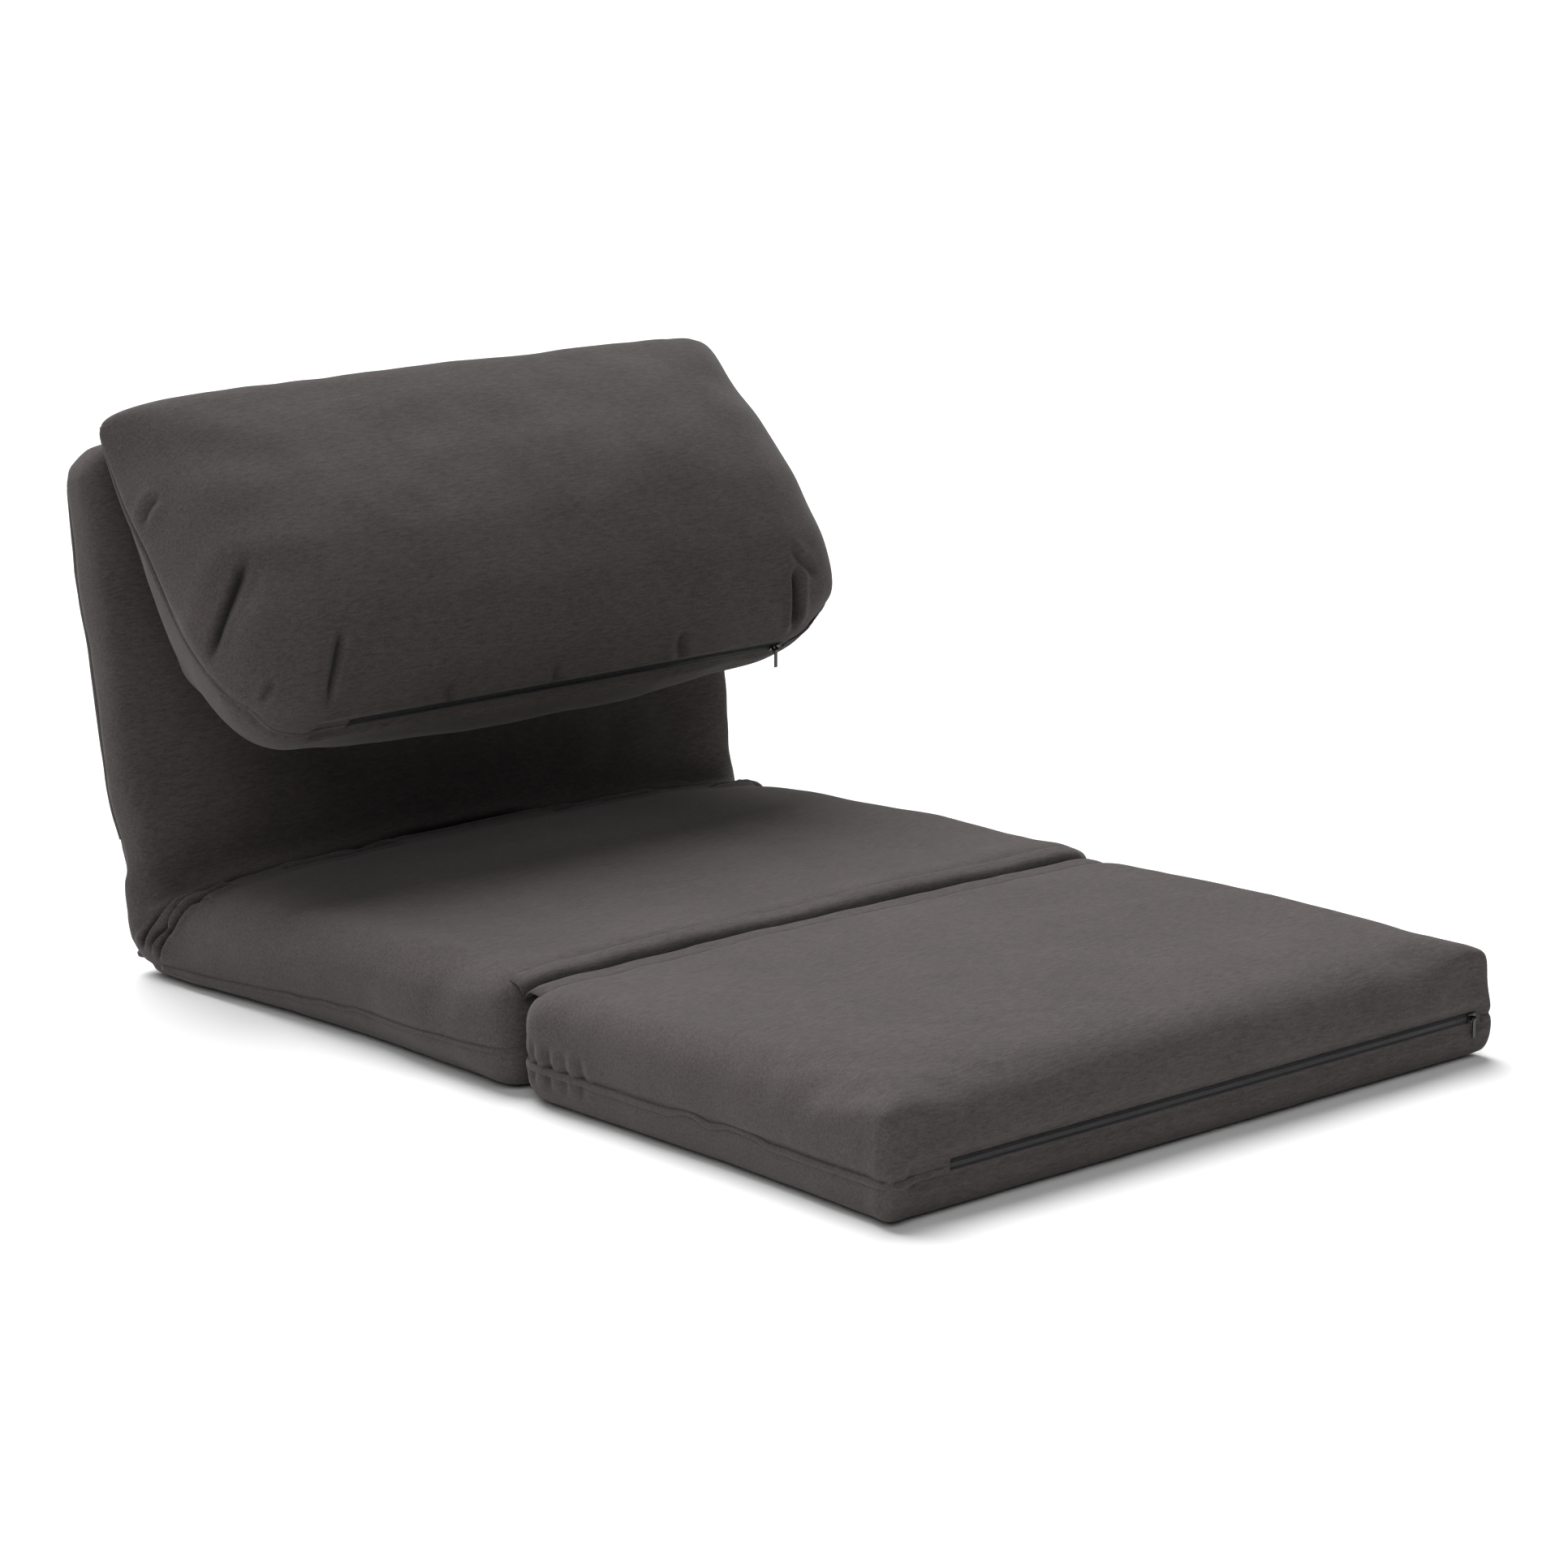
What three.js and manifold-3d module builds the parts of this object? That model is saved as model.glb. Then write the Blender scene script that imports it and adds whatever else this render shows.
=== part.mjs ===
import * as THREE from 'three';
import { mergeVertices } from 'three/addons/utils/BufferGeometryUtils.js';
import Module from 'manifold-3d';

const wasm = await Module();
wasm.setup();

// A folding floor chair. Millimetres, +Z up, +Y towards the back, X across the chair.
// The origin lies on the floor, midway between the footrest's fold line and the recline axis.

// Driving dimensions
const chairWidth = 750;
const foldSpan = 530;
const footrestLength = 492;
const footrestHeight = 114;
const seatFrontHeight = 109;
const seatRearHeight = 93;
const backLength = 478;
const backTilt = 11;
const foldHeight = 108;

// Cloth, foam and the gaps between soft pieces
const clothThickness = 2;
const softGap = 0.5;
const seamGap = 0.4;
const stripThickness = 1.2;
const touchGap = 0.3;
const cutOverrun = 5;
const restDepth = 0.5;
const weldDistance = 1e-4;
const longestRun = 120;
const facetTurn = 25;
const sharpestShare = 0.5;
const flatShares = [0.64, 0.32];
const edgeTurns = [90, 60, 30, 0];
const tubeSides = 8;
const holeSides = 8;
const pivotSides = 12;

// Seat section
const heelRadius = 46;
const floorGap = 0.5;
const seatFrontRadius = 16;
const seatToeRadius = 24;
const seatSeamFront = 44;
const seatSeamRear = 14;
const seatEdgeWidth = 34;
const seatSideDraw = 4;
const seatTopShares = [0.12, 0.58, 0.82];
const seatNoseShares = [0.4, 1.4];
const seatCrownShares = [0.06, 0.36];
const seatFootEndShares = [0.35, 0.8];
const seatTopEndShares = [0.62, 0.42];

// Footrest section
const footrestFrontHeight = 107;
const footrestRearHeight = 102;
const footrestRearRadius = 18;
const footrestToeRadius = 24;
const footrestFrontRadius = 18;
const footrestHemRadius = 12;
const footrestFrontBelly = 5;
const footrestEdgeWidth = 22;
const footrestRearCorner = 34;
const footrestFrontCorner = 12;
const footrestSideDraw = 5;
const footrestSeamHeight = 41;
const footrestTopShares = [[0.26, 0.45], [0.5, 0.88], [0.76, 1]];
const footrestCrownShare = 0.1;
const footrestCrownRunShares = [0.02, 0.2];
const footrestFootEndShares = [0.78, 0.58];
const footrestTopEndShare = 0.7;

// Backrest section, from the recline axis
const backFrontSetback = 9;
const backTaper = 1;
const backRearReach = heelRadius;
const backTopRadius = 29;
const backRearEnd = 22;
const backEdgeWidth = 20;
const backCornerRadius = 58;
const backSeamInset = 12;
const backGap = 1;
const backCrownShares = [0.03, 0.08];
const backEndShare = 0.6;

// Head pillow, from the recline axis in the backrest's frame
const pillowFoldRise = 8;
const pillowFoldSetback = 20;
const pillowReach = 212;
const pillowHang = 328;
const pillowOver = 33;
const pillowEdgeWidth = 76;
const pillowCornerRadius = 70;
const pillowSpineDrop = 8;
const pillowSpineLift = 72;
const pillowSpineReach = 12;
const pillowSeamLift = 24;
const pillowSeamReach = 177;
const pillowNoseGap = 2;
const pillowRestGap = 0.4;
const pillowNoseHalf = 4;
const pillowNeckDrop = 6;
const pillowRestShares = [0.8, 0.075];
const pillowUnderShares = [[0.09, 0.035], [0.3, 0.034], [0.44, 0.016], [0.62, 0]];
const pillowFaceShares = [
  [0.958, 0.147], [1, 0.27], [0.967, 0.415], [0.882, 0.554], [0.755, 0.693], [0.575, 0.817],
  [0.4, 0.914], [0.26, 0.983], [0.13, 1], [0, 0.965],
];
const pillowCrownShare = 0.12;
const pillowCrownRunShares = [0.3, 0.9];
const pillowEndShares = [0.28, 0.5];

// Steel tube frames
const tubeDiameter = 16;
const crossTubeDiameter = 12;
const tubeInset = 40;
const tubeBend = 60;
const seatTubeFrontInset = 52;
const seatCrossRear = 120;
const seatCrossFront = 300;
const backTubeTopInset = 48;
const backTubeFoot = 78;
const backCrossLow = 150;
const backCrossHigh = 320;
const tubeWall = 1.4;
const tubeClearance = 0.5;
const seatTubeEnd = 56;

// Ratchet hinges
const plateThickness = 3;
const plateClearance = 0.3;
const pivotBossRadius = 30;
const plateTailLength = 104;
const plateTailHalf = 12;
const plateChinReach = 45;
const plateChinDrop = 18;
const plateBossFrom = -75;
const plateBossTo = 120;
const pocketFloor = 8;
const pivotRadius = 4;
const pivotHeadRadius = 9;
const headThickness = 2.2;
const gearThickness = 5;
const gearRootRadius = 21;
const gearTipRadius = 25;
const clickAngle = 10;
const teethBefore = 3;
const teethAfter = 9;
const toothRiseShares = [-0.31, -0.23, 0.12, 0.42];
const armHalf = 9;
const armElbow = 58;
const armTop = 118;
const tubeSlotClearance = 0.4;
const pawlPinDistance = 44;
const pawlPinAngle = 173;
const pawlBossRadius = 7;
const pawlPinRadius = 2.5;
const pawlNoseAngle = 230;
const pawlTipClearance = 0.5;
const pawlNoseShares = [-0.32, -0.05, 0.15, 0.22];
const pawlBackRadius = 31;
const pawlBossFrom = 285;
const pawlBossTo = 40;
const pawlBossSteps = 7;
const pawlWaistShares = [0.6, 0.55];
const pawlWaist = 3;
const pawlLift = 7;
const springThickness = 0.9;
const springRadius = 40;
const springFrom = 214;
const springTo = 236;
const pinClearance = 0.2;
const rivetRadius = 2.5;
const rivetHeadRadius = 4.5;
const rivetSpacing = 24;
const rivetCrownShare = 0.7;
const rivetRimShare = 0.4;

// Zips
const zipToothPitch = 28;
const zipToothLength = 12;
const zipRowHalf = 2.6;
const zipRootShare = 0.45;
const zipCoreHalf = 1;
const zipRowDepth = 2.4;
const zipTapeThickness = 0.8;
const zipTapeHalf = 9;
const zipSlotHalf = 4.5;
const zipRecess = 3;
const zipFloorDepth = 8;
const zipEndMargin = 3;
const sliderLength = 11;
const sliderHalf = 3.8;
const sliderPlate = 1.2;
const sliderClearance = 0.4;
const sliderPostHalf = 0.6;
const sliderInset = 8;
const bailPinRadius = 0.7;
const bailReach = 2.8;
const bailEar = 1.1;
const bailGap = 0.3;
const pullLength = 18;
const pullWidth = 3.6;
const pullThickness = 1.2;
const eyeWall = 0.8;
const eyeClearance = 0.3;
const footrestZipStartInset = 73;
const footrestZipEndInset = 19;
const pillowZipStartInset = 129;
const pillowZipEndInset = 74;
const pillowZipTilt = 54;
const pillowZipSink = 2.6;

// Values that follow from the driving dimensions
const halfWidth = chairWidth / 2;
const foldY = -foldSpan / 2;
const pivotY = foldSpan / 2;
const pivotZ = heelRadius + floorGap;
const pillowLow = backLength - pillowHang;
const pillowHigh = backLength + pillowOver;
const pillowSeamRise = pillowLow + pillowSeamLift;
const tubeSpread = halfWidth - tubeInset;
const footrestZipStart = footrestZipStartInset - halfWidth;
const footrestZipEnd = halfWidth - footrestZipEndInset;
const pillowZipStart = pillowZipStartInset - halfWidth;
const pillowZipEnd = halfWidth - pillowZipEndInset;
const tubeRadius = tubeDiameter / 2;
const plateGapHalf = tubeRadius + plateClearance;
const radians = THREE.MathUtils.degToRad;
const mix = THREE.MathUtils.lerp;

// Finishes
const clothFinish = { color: 0x5a5453, roughness: 0.95, metalness: 0 };
const baseClothFinish = { color: 0x2b2a2a, roughness: 0.9, metalness: 0 };
const foamFinish = { color: 0xd9d2b8, roughness: 1, metalness: 0 };
const tubeFinish = { color: 0x1d1d1f, roughness: 0.5, metalness: 0.6 };
const zincFinish = { color: 0xb4b6ba, roughness: 0.35, metalness: 1 };
const zipFinish = { color: 0x151516, roughness: 0.6, metalness: 0.1 };
const pullFinish = { color: 0x26262a, roughness: 0.4, metalness: 0.7 };

// Solids in and out of the boolean library
function solidOf(geometry) {
  const bare = geometry.clone();
  bare.deleteAttribute('normal');
  bare.deleteAttribute('uv');
  const merged = mergeVertices(bare, weldDistance);
  const vertProperties = new Float32Array(merged.attributes.position.array);
  const triVerts = new Uint32Array(merged.index.array);
  return new wasm.Manifold(new wasm.Mesh({ numProp: 3, vertProperties, triVerts }));
}

function geometryOf(solid) {
  const data = solid.getMesh();
  const geometry = new THREE.BufferGeometry();
  geometry.setAttribute('position', new THREE.BufferAttribute(data.vertProperties, 3));
  geometry.setIndex(new THREE.BufferAttribute(data.triVerts, 1));
  geometry.computeVertexNormals();
  return geometry;
}

function node(name, solid, finish, parent) {
  const part = new THREE.Mesh(geometryOf(solid), new THREE.MeshStandardMaterial(finish));
  part.name = name;
  parent.add(part);
  return part;
}

// Triangles laced between the two long sides of an outline, from one end of its run to the other
function laced(loop, direction) {
  const count = loop.length;
  const places = loop.map((point) => point.dot(direction));
  const last = places.indexOf(Math.max(...places));
  const fits = (a, b, c) => {
    const across = new THREE.Vector2().subVectors(loop[b], loop[a]);
    return across.cross(new THREE.Vector2().subVectors(loop[c], loop[a])) >= 0;
  };
  let up = places.indexOf(Math.min(...places));
  let down = up;
  const faces = [];
  while (up !== last || down !== last) {
    const nextUp = (up + 1) % count;
    const nextDown = (down + count - 1) % count;
    const nearer = down === last || places[nextUp] <= places[nextDown];
    const blocked = down === last || !fits(nextDown, down, up);
    if (up !== last && fits(up, nextUp, down) && (nearer || blocked)) {
      faces.push([up, nextUp, down]);
      up = nextUp;
    } else {
      faces.push([nextDown, down, up]);
      down = nextDown;
    }
  }
  return faces.filter((face) => new Set(face).size === face.length);
}

// Closed rings of equal count, skinned one to the next and capped at both ends
function skin(rings, cap) {
  const count = rings[0].length;
  const positions = rings.flat().flatMap((p) => [p.x, p.y, p.z]);
  const faces = [];
  for (let r = 0; r + 1 < rings.length; r += 1) {
    for (let i = 0; i < count; i += 1) {
      const a = r * count + i;
      const b = r * count + ((i + 1) % count);
      faces.push(a, b, b + count, a, b + count, a + count);
    }
  }
  const last = (rings.length - 1) * count;
  for (const [a, b, c] of cap) {
    faces.push(a, c, b);
    faces.push(last + a, last + b, last + c);
  }
  const geometry = new THREE.BufferGeometry();
  geometry.setAttribute('position', new THREE.Float32BufferAttribute(positions, 3));
  geometry.setIndex(faces);
  return solidOf(geometry);
}

// An outline drawn in the plane that looks along X, pushed out between two places on X
function plate(shape, from, to, segments = 10) {
  const geometry = new THREE.ExtrudeGeometry(shape, {
    depth: to - from,
    bevelEnabled: false,
    steps: 1,
    curveSegments: segments,
  });
  const across = new THREE.Matrix4().makeBasis(
    new THREE.Vector3(0, 1, 0),
    new THREE.Vector3(0, 0, 1),
    new THREE.Vector3(1, 0, 0),
  );
  geometry.applyMatrix4(across);
  geometry.translate(from, 0, 0);
  return solidOf(geometry);
}

function block(low, high) {
  const size = new THREE.Vector3().subVectors(high, low);
  const geometry = new THREE.BoxGeometry(size.x, size.y, size.z);
  geometry.translate((low.x + high.x) / 2, (low.y + high.y) / 2, (low.z + high.z) / 2);
  return solidOf(geometry);
}

// A turned profile of [radius, place on X] pairs about an axis along X
function turned(profile, y, z, sides) {
  const points = profile.map(([radius, place]) => new THREE.Vector2(radius, place));
  const geometry = new THREE.LatheGeometry(points, sides);
  geometry.rotateZ(-Math.PI / 2);
  geometry.translate(0, y, z);
  return solidOf(geometry);
}

// A round tube through the corners of a flat path, its bends given as short chords
function bentTube(path, planeNormal, radius, sides = tubeSides) {
  const rings = path.map((point, i) => {
    const before = path[Math.max(i - 1, 0)];
    const after = path[Math.min(i + 1, path.length - 1)];
    const arrive = new THREE.Vector3().subVectors(point, before).normalize();
    const leave = new THREE.Vector3().subVectors(after, point).normalize();
    const along = new THREE.Vector3().addVectors(arrive, leave).normalize();
    const stretch = i > 0 && i + 1 < path.length ? 1 / along.dot(leave) : 1;
    const out = new THREE.Vector3().crossVectors(planeNormal, along);
    return Array.from({ length: sides }, (_, k) => {
      const turn = (2 * Math.PI * (k + 0.5)) / sides;
      return point.clone()
        .addScaledVector(out, radius * Math.cos(turn) * stretch)
        .addScaledVector(planeNormal, radius * Math.sin(turn));
    });
  });
  const positions = rings.flat().flatMap((p) => [p.x, p.y, p.z]);
  const faces = [];
  for (let r = 0; r + 1 < rings.length; r += 1) {
    for (let i = 0; i < sides; i += 1) {
      const a = r * sides + i;
      const b = r * sides + ((i + 1) % sides);
      faces.push(a, b + sides, b, a, a + sides, b + sides);
    }
  }
  const last = (rings.length - 1) * sides;
  for (let i = 1; i + 1 < sides; i += 1) {
    faces.push(0, i, i + 1);
    faces.push(last, last + i + 1, last + i);
  }
  const geometry = new THREE.BufferGeometry();
  geometry.setAttribute('position', new THREE.Float32BufferAttribute(positions, 3));
  geometry.setIndex(faces);
  const solid = solidOf(geometry);
  return solid.volume() > 0 ? solid : flipped(geometry);
}

function flipped(geometry) {
  geometry.setIndex([...geometry.index.array].reverse());
  return solidOf(geometry);
}

// A path in three dimensions made of straight runs and quarter bends between them
function roundedPath(corners, bend, steps = 5) {
  const path = [corners[0]];
  for (let i = 1; i + 1 < corners.length; i += 1) {
    const corner = corners[i];
    const back = new THREE.Vector3().subVectors(corners[i - 1], corner).normalize();
    const on = new THREE.Vector3().subVectors(corners[i + 1], corner).normalize();
    const centre = corner.clone().addScaledVector(back, bend).addScaledVector(on, bend);
    for (let k = 0; k <= steps; k += 1) {
      const turn = (Math.PI / 2) * (k / steps);
      path.push(
        centre.clone()
          .addScaledVector(on, -bend * Math.cos(turn))
          .addScaledVector(back, -bend * Math.sin(turn)),
      );
    }
  }
  path.push(corners[corners.length - 1]);
  return path;
}

// The angle that a curve turns through, in degrees
function turnOf(curve) {
  const samples = 24;
  let turn = 0;
  for (let i = 0; i < samples; i += 1) {
    const from = curve.getTangent(i / samples);
    turn += Math.acos(THREE.MathUtils.clamp(from.dot(curve.getTangent((i + 1) / samples)), -1, 1));
  }
  return THREE.MathUtils.radToDeg(turn);
}

// Points of a closed path in the section plane, close where it turns and wider on its long runs
function outline(path, longestRun) {
  const points = [];
  for (const curve of path.curves) {
    const straight = curve.isLineCurve;
    const runs = Math.ceil(curve.getLength() / longestRun);
    const steps = straight ? runs : Math.max(runs, Math.ceil(turnOf(curve) / facetTurn));
    for (let i = 0; i < steps; i += 1) {
      points.push(curve.getPoint(i / steps));
    }
  }
  return THREE.ShapeUtils.isClockWise(points) ? points.reverse() : points;
}

// The same outline moved inwards by a distance
function inset(loop, distance) {
  const turnsLeft = THREE.ShapeUtils.area(loop) > 0 ? 1 : -1;
  return loop.map((point, i) => {
    const before = loop[(i + loop.length - 1) % loop.length];
    const after = loop[(i + 1) % loop.length];
    const arrive = new THREE.Vector2().subVectors(point, before).normalize();
    const leave = new THREE.Vector2().subVectors(after, point).normalize();
    const along = new THREE.Vector2().addVectors(arrive, leave).normalize();
    const inward = new THREE.Vector2(-along.y, along.x).multiplyScalar(turnsLeft);
    return point.clone().addScaledVector(inward, distance / Math.max(along.dot(leave), sharpestShare));
  });
}

function nearestOnSpine(spine, point) {
  const [start, end] = spine;
  const run = new THREE.Vector2().subVectors(end, start);
  const reach = new THREE.Vector2().subVectors(point, start);
  const share = THREE.MathUtils.clamp(reach.dot(run) / run.lengthSq(), 0, 1);
  return start.clone().addScaledVector(run, share);
}

// A corner square of the plan turned into a quarter round
function roundedCorner(x, along, end, radius) {
  const outward = Math.sign(end.out);
  const s = (Math.abs(x) - (end.half - radius)) / radius;
  const t = ((along - end.at) * outward + radius) / radius;
  if (s <= 0 || t <= 0) {
    return [x, along];
  }
  const newX = end.half - radius + radius * s * Math.sqrt(1 - Math.min(t * t, 1) / 2);
  const newT = radius * t * Math.sqrt(1 - Math.min(s * s, 1) / 2) - radius;
  return [Math.sign(x) * newX, end.at + outward * newT];
}

// A cushion: the section carried across X, shrunk towards its spine over the side edges,
// crowned across its width, with its plan corners rounded and its sides drawn in
function cushion(form, depth = 0) {
  const { loop, spine, half, edge, spread } = form;
  const shape = depth > 0 ? inset(loop, depth) : loop;
  const halfX = half - depth;
  const rightHalf = [
    ...flatShares.map((share) => ({ x: (halfX - edge) * share, turn: 0 })).reverse(),
    ...edgeTurns.map((turn) => radians(turn)).reverse()
      .map((turn) => ({ x: halfX - edge + edge * Math.sin(turn), turn })),
  ];
  const stations = [
    ...rightHalf.map(({ x, turn }) => ({ x: -x, turn })).reverse(),
    { x: 0, turn: 0 },
    ...rightHalf,
  ];
  const direction = new THREE.Vector2().subVectors(spine[1], spine[0]).normalize();
  const rings = stations.map(({ x, turn }) => shape.map((point) => {
    const centre = nearestOnSpine(spine, point);
    const reach = new THREE.Vector2().subVectors(point, centre);
    const upper = 0.5 + (0.5 * form.upperSign * direction.cross(reach)) / reach.length();
    const share = (point.dot(direction) - form.low) / (form.high - form.low);
    const crown = form.crown(upper, share) * (Math.abs(x) / half) ** form.crownPower;
    const close = (1 - form.endShare(upper, share)) * (1 - Math.cos(turn));
    const scale = (1 - crown) * (1 - close);
    const placed = centre.clone().lerp(point, scale);
    let across = x;
    let along = placed.dot(direction);
    const start = along;
    const ends = [
      { at: form.low + depth, out: -1, half: halfX, radius: form.lowCorner },
      { at: form.high - depth, out: 1, half: halfX, radius: form.highCorner },
    ];
    for (const end of ends) {
      if (end.radius > 0) {
        [across, along] = roundedCorner(across, along, end, end.radius - depth);
      }
    }
    placed.addScaledVector(direction, along - start);
    const middle = Math.sin(Math.PI * THREE.MathUtils.clamp(share, 0, 1));
    across *= 1 - (spread * middle) / half;
    return new THREE.Vector3(across, placed.x, placed.y);
  }));
  return skin(rings, laced(loop, direction));
}

// A wedge that holds everything below a line in the section plane, to cut a cover at its seam
function below(fromY, fromZ, toY, toZ, reach) {
  const shape = new THREE.Shape();
  shape.moveTo(fromY, fromZ);
  shape.lineTo(toY, toZ);
  shape.lineTo(toY, toZ - reach);
  shape.lineTo(fromY, fromZ - reach);
  shape.closePath();
  return plate(shape, -chairWidth, chairWidth);
}

// The seat: a pad with a round heel about the recline axis
function seatForm() {
  const front = foldY + stripThickness / 2 + touchGap;
  const path = new THREE.Path();
  const toeZ = seatToeRadius - restDepth;
  const [rearRise, middleRise, frontRise] = seatTopShares.map(
    (share) => mix(seatRearHeight, seatFrontHeight, share),
  );
  const [noseDrop, noseFoot] = seatNoseShares.map((share) => seatFrontRadius * share);
  path.moveTo(front, toeZ);
  path.absarc(front + seatToeRadius, toeZ, seatToeRadius, Math.PI, 1.5 * Math.PI, false);
  path.lineTo(pivotY - heelRadius, -restDepth);
  path.lineTo(pivotY, floorGap);
  path.absarc(pivotY, pivotZ, heelRadius, -Math.PI / 2, Math.PI / 2, false);
  const crest = front + seatFrontRadius * 2;
  path.splineThru([
    new THREE.Vector2(pivotY - heelRadius, rearRise),
    new THREE.Vector2(0, middleRise),
    new THREE.Vector2(foldY / 2, frontRise),
    new THREE.Vector2(crest, seatFrontHeight),
  ]);
  path.bezierCurveTo(
    front + seatFrontRadius, seatFrontHeight,
    front, seatFrontHeight - noseDrop,
    front, seatFrontHeight - noseFoot,
  );
  path.lineTo(front, toeZ);
  return {
    loop: outline(path, longestRun),
    spine: [
      new THREE.Vector2(front + heelRadius, pivotZ),
      new THREE.Vector2(pivotY, pivotZ),
    ],
    half: halfWidth,
    edge: seatEdgeWidth,
    spread: seatSideDraw,
    low: front,
    high: pivotY + heelRadius,
    lowCorner: 0,
    highCorner: 0,
    upperSign: 1,
    crownPower: 4,
    crown: (upper, share) => upper * mix(...seatCrownShares, share * share),
    endShare: (upper, share) => (
      mix(mix(...seatFootEndShares, share), mix(...seatTopEndShares, share), upper)
    ),
  };
}

// The footrest: a boxed block of foam in a two-panel cover
function footrestForm() {
  const rear = foldY - stripThickness / 2 - touchGap;
  const front = foldY - footrestLength;
  const path = new THREE.Path();
  const toeZ = footrestToeRadius - restDepth;
  path.moveTo(front + footrestHemRadius, -restDepth);
  path.lineTo(rear - footrestToeRadius, -restDepth);
  path.absarc(rear - footrestToeRadius, toeZ, footrestToeRadius, -Math.PI / 2, 0, false);
  path.lineTo(rear, footrestRearHeight - footrestRearRadius);
  path.absarc(
    rear - footrestRearRadius, footrestRearHeight - footrestRearRadius, footrestRearRadius,
    0, Math.PI / 2, false,
  );
  path.splineThru([
    ...footrestTopShares.map(([lengthShare, riseShare]) => new THREE.Vector2(
      rear - footrestLength * lengthShare,
      mix(footrestRearHeight, footrestHeight, riseShare),
    )),
    new THREE.Vector2(front + footrestFrontRadius, footrestFrontHeight),
  ]);
  path.quadraticCurveTo(
    front + footrestFrontBelly, footrestFrontHeight,
    front + footrestFrontBelly, footrestFrontHeight - footrestFrontRadius,
  );
  path.quadraticCurveTo(
    front, footrestFrontHeight / 2 + footrestHemRadius,
    front, footrestSeamHeight + zipTapeHalf,
  );
  path.lineTo(front, footrestSeamHeight - zipTapeHalf);
  path.quadraticCurveTo(front, -restDepth, front + footrestHemRadius, -restDepth);
  const middle = footrestHeight / 2;
  return {
    loop: outline(path, longestRun),
    spine: [
      new THREE.Vector2(front + middle, middle),
      new THREE.Vector2(rear - middle, middle),
    ],
    half: halfWidth,
    edge: footrestEdgeWidth,
    spread: footrestSideDraw,
    low: front,
    high: rear,
    lowCorner: footrestFrontCorner,
    highCorner: footrestRearCorner,
    upperSign: 1,
    crownPower: 3,
    crown: (upper, share) => (
      footrestCrownShare * upper * THREE.MathUtils.smoothstep(share, ...footrestCrownRunShares)
    ),
    endShare: (upper, share) => mix(mix(...footrestFootEndShares, share), footrestTopEndShare, upper),
  };
}

// The backrest's section, in a frame that turns about the recline axis
const taper = Math.tan(radians(backTaper));
const backFrontY = (z) => backFrontSetback - taper * z;
const backRearY = (z) => backRearReach + taper * z;

function backForm() {
  const saddle = heelRadius + backGap;
  const frontFoot = Math.sqrt(saddle ** 2 - backFrontSetback ** 2);
  const rearFootY = Math.sqrt(saddle ** 2 - backRearEnd ** 2);
  const topFront = backLength - backTopRadius;
  const middleTop = (backFrontY(topFront) + backRearY(topFront)) / 2;
  const topHalf = (backRearY(topFront) - backFrontY(topFront)) / 2;
  const path = new THREE.Path();
  const from = Math.atan2(backRearEnd, rearFootY);
  const to = Math.atan2(frontFoot, backFrontY(frontFoot));
  path.moveTo(rearFootY, backRearEnd);
  path.absarc(0, 0, saddle, from, to, false);
  path.lineTo(backFrontY(topFront), topFront);
  path.absellipse(middleTop, topFront, topHalf, backTopRadius, Math.PI, 0, true);
  path.lineTo(backRearY(backRearEnd), backRearEnd);
  path.lineTo(rearFootY, backRearEnd);
  const middleFoot = (backFrontY(armElbow) + backRearY(armElbow)) / 2;
  return {
    loop: outline(path, longestRun),
    spine: [
      new THREE.Vector2(middleFoot, armElbow),
      new THREE.Vector2(middleTop, topFront),
    ],
    half: halfWidth,
    edge: backEdgeWidth,
    spread: 0,
    low: 0,
    high: backLength,
    lowCorner: 0,
    highCorner: backCornerRadius,
    upperSign: 1,
    crownPower: 4,
    crown: (upper) => mix(...backCrownShares, upper),
    endShare: () => backEndShare,
  };
}

// The pillow's section, in the backrest's frame: a fat wedge that hangs from the sewn strip
const foldLineY = pillowFoldSetback;
const foldLineZ = backLength + pillowFoldRise;

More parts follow.
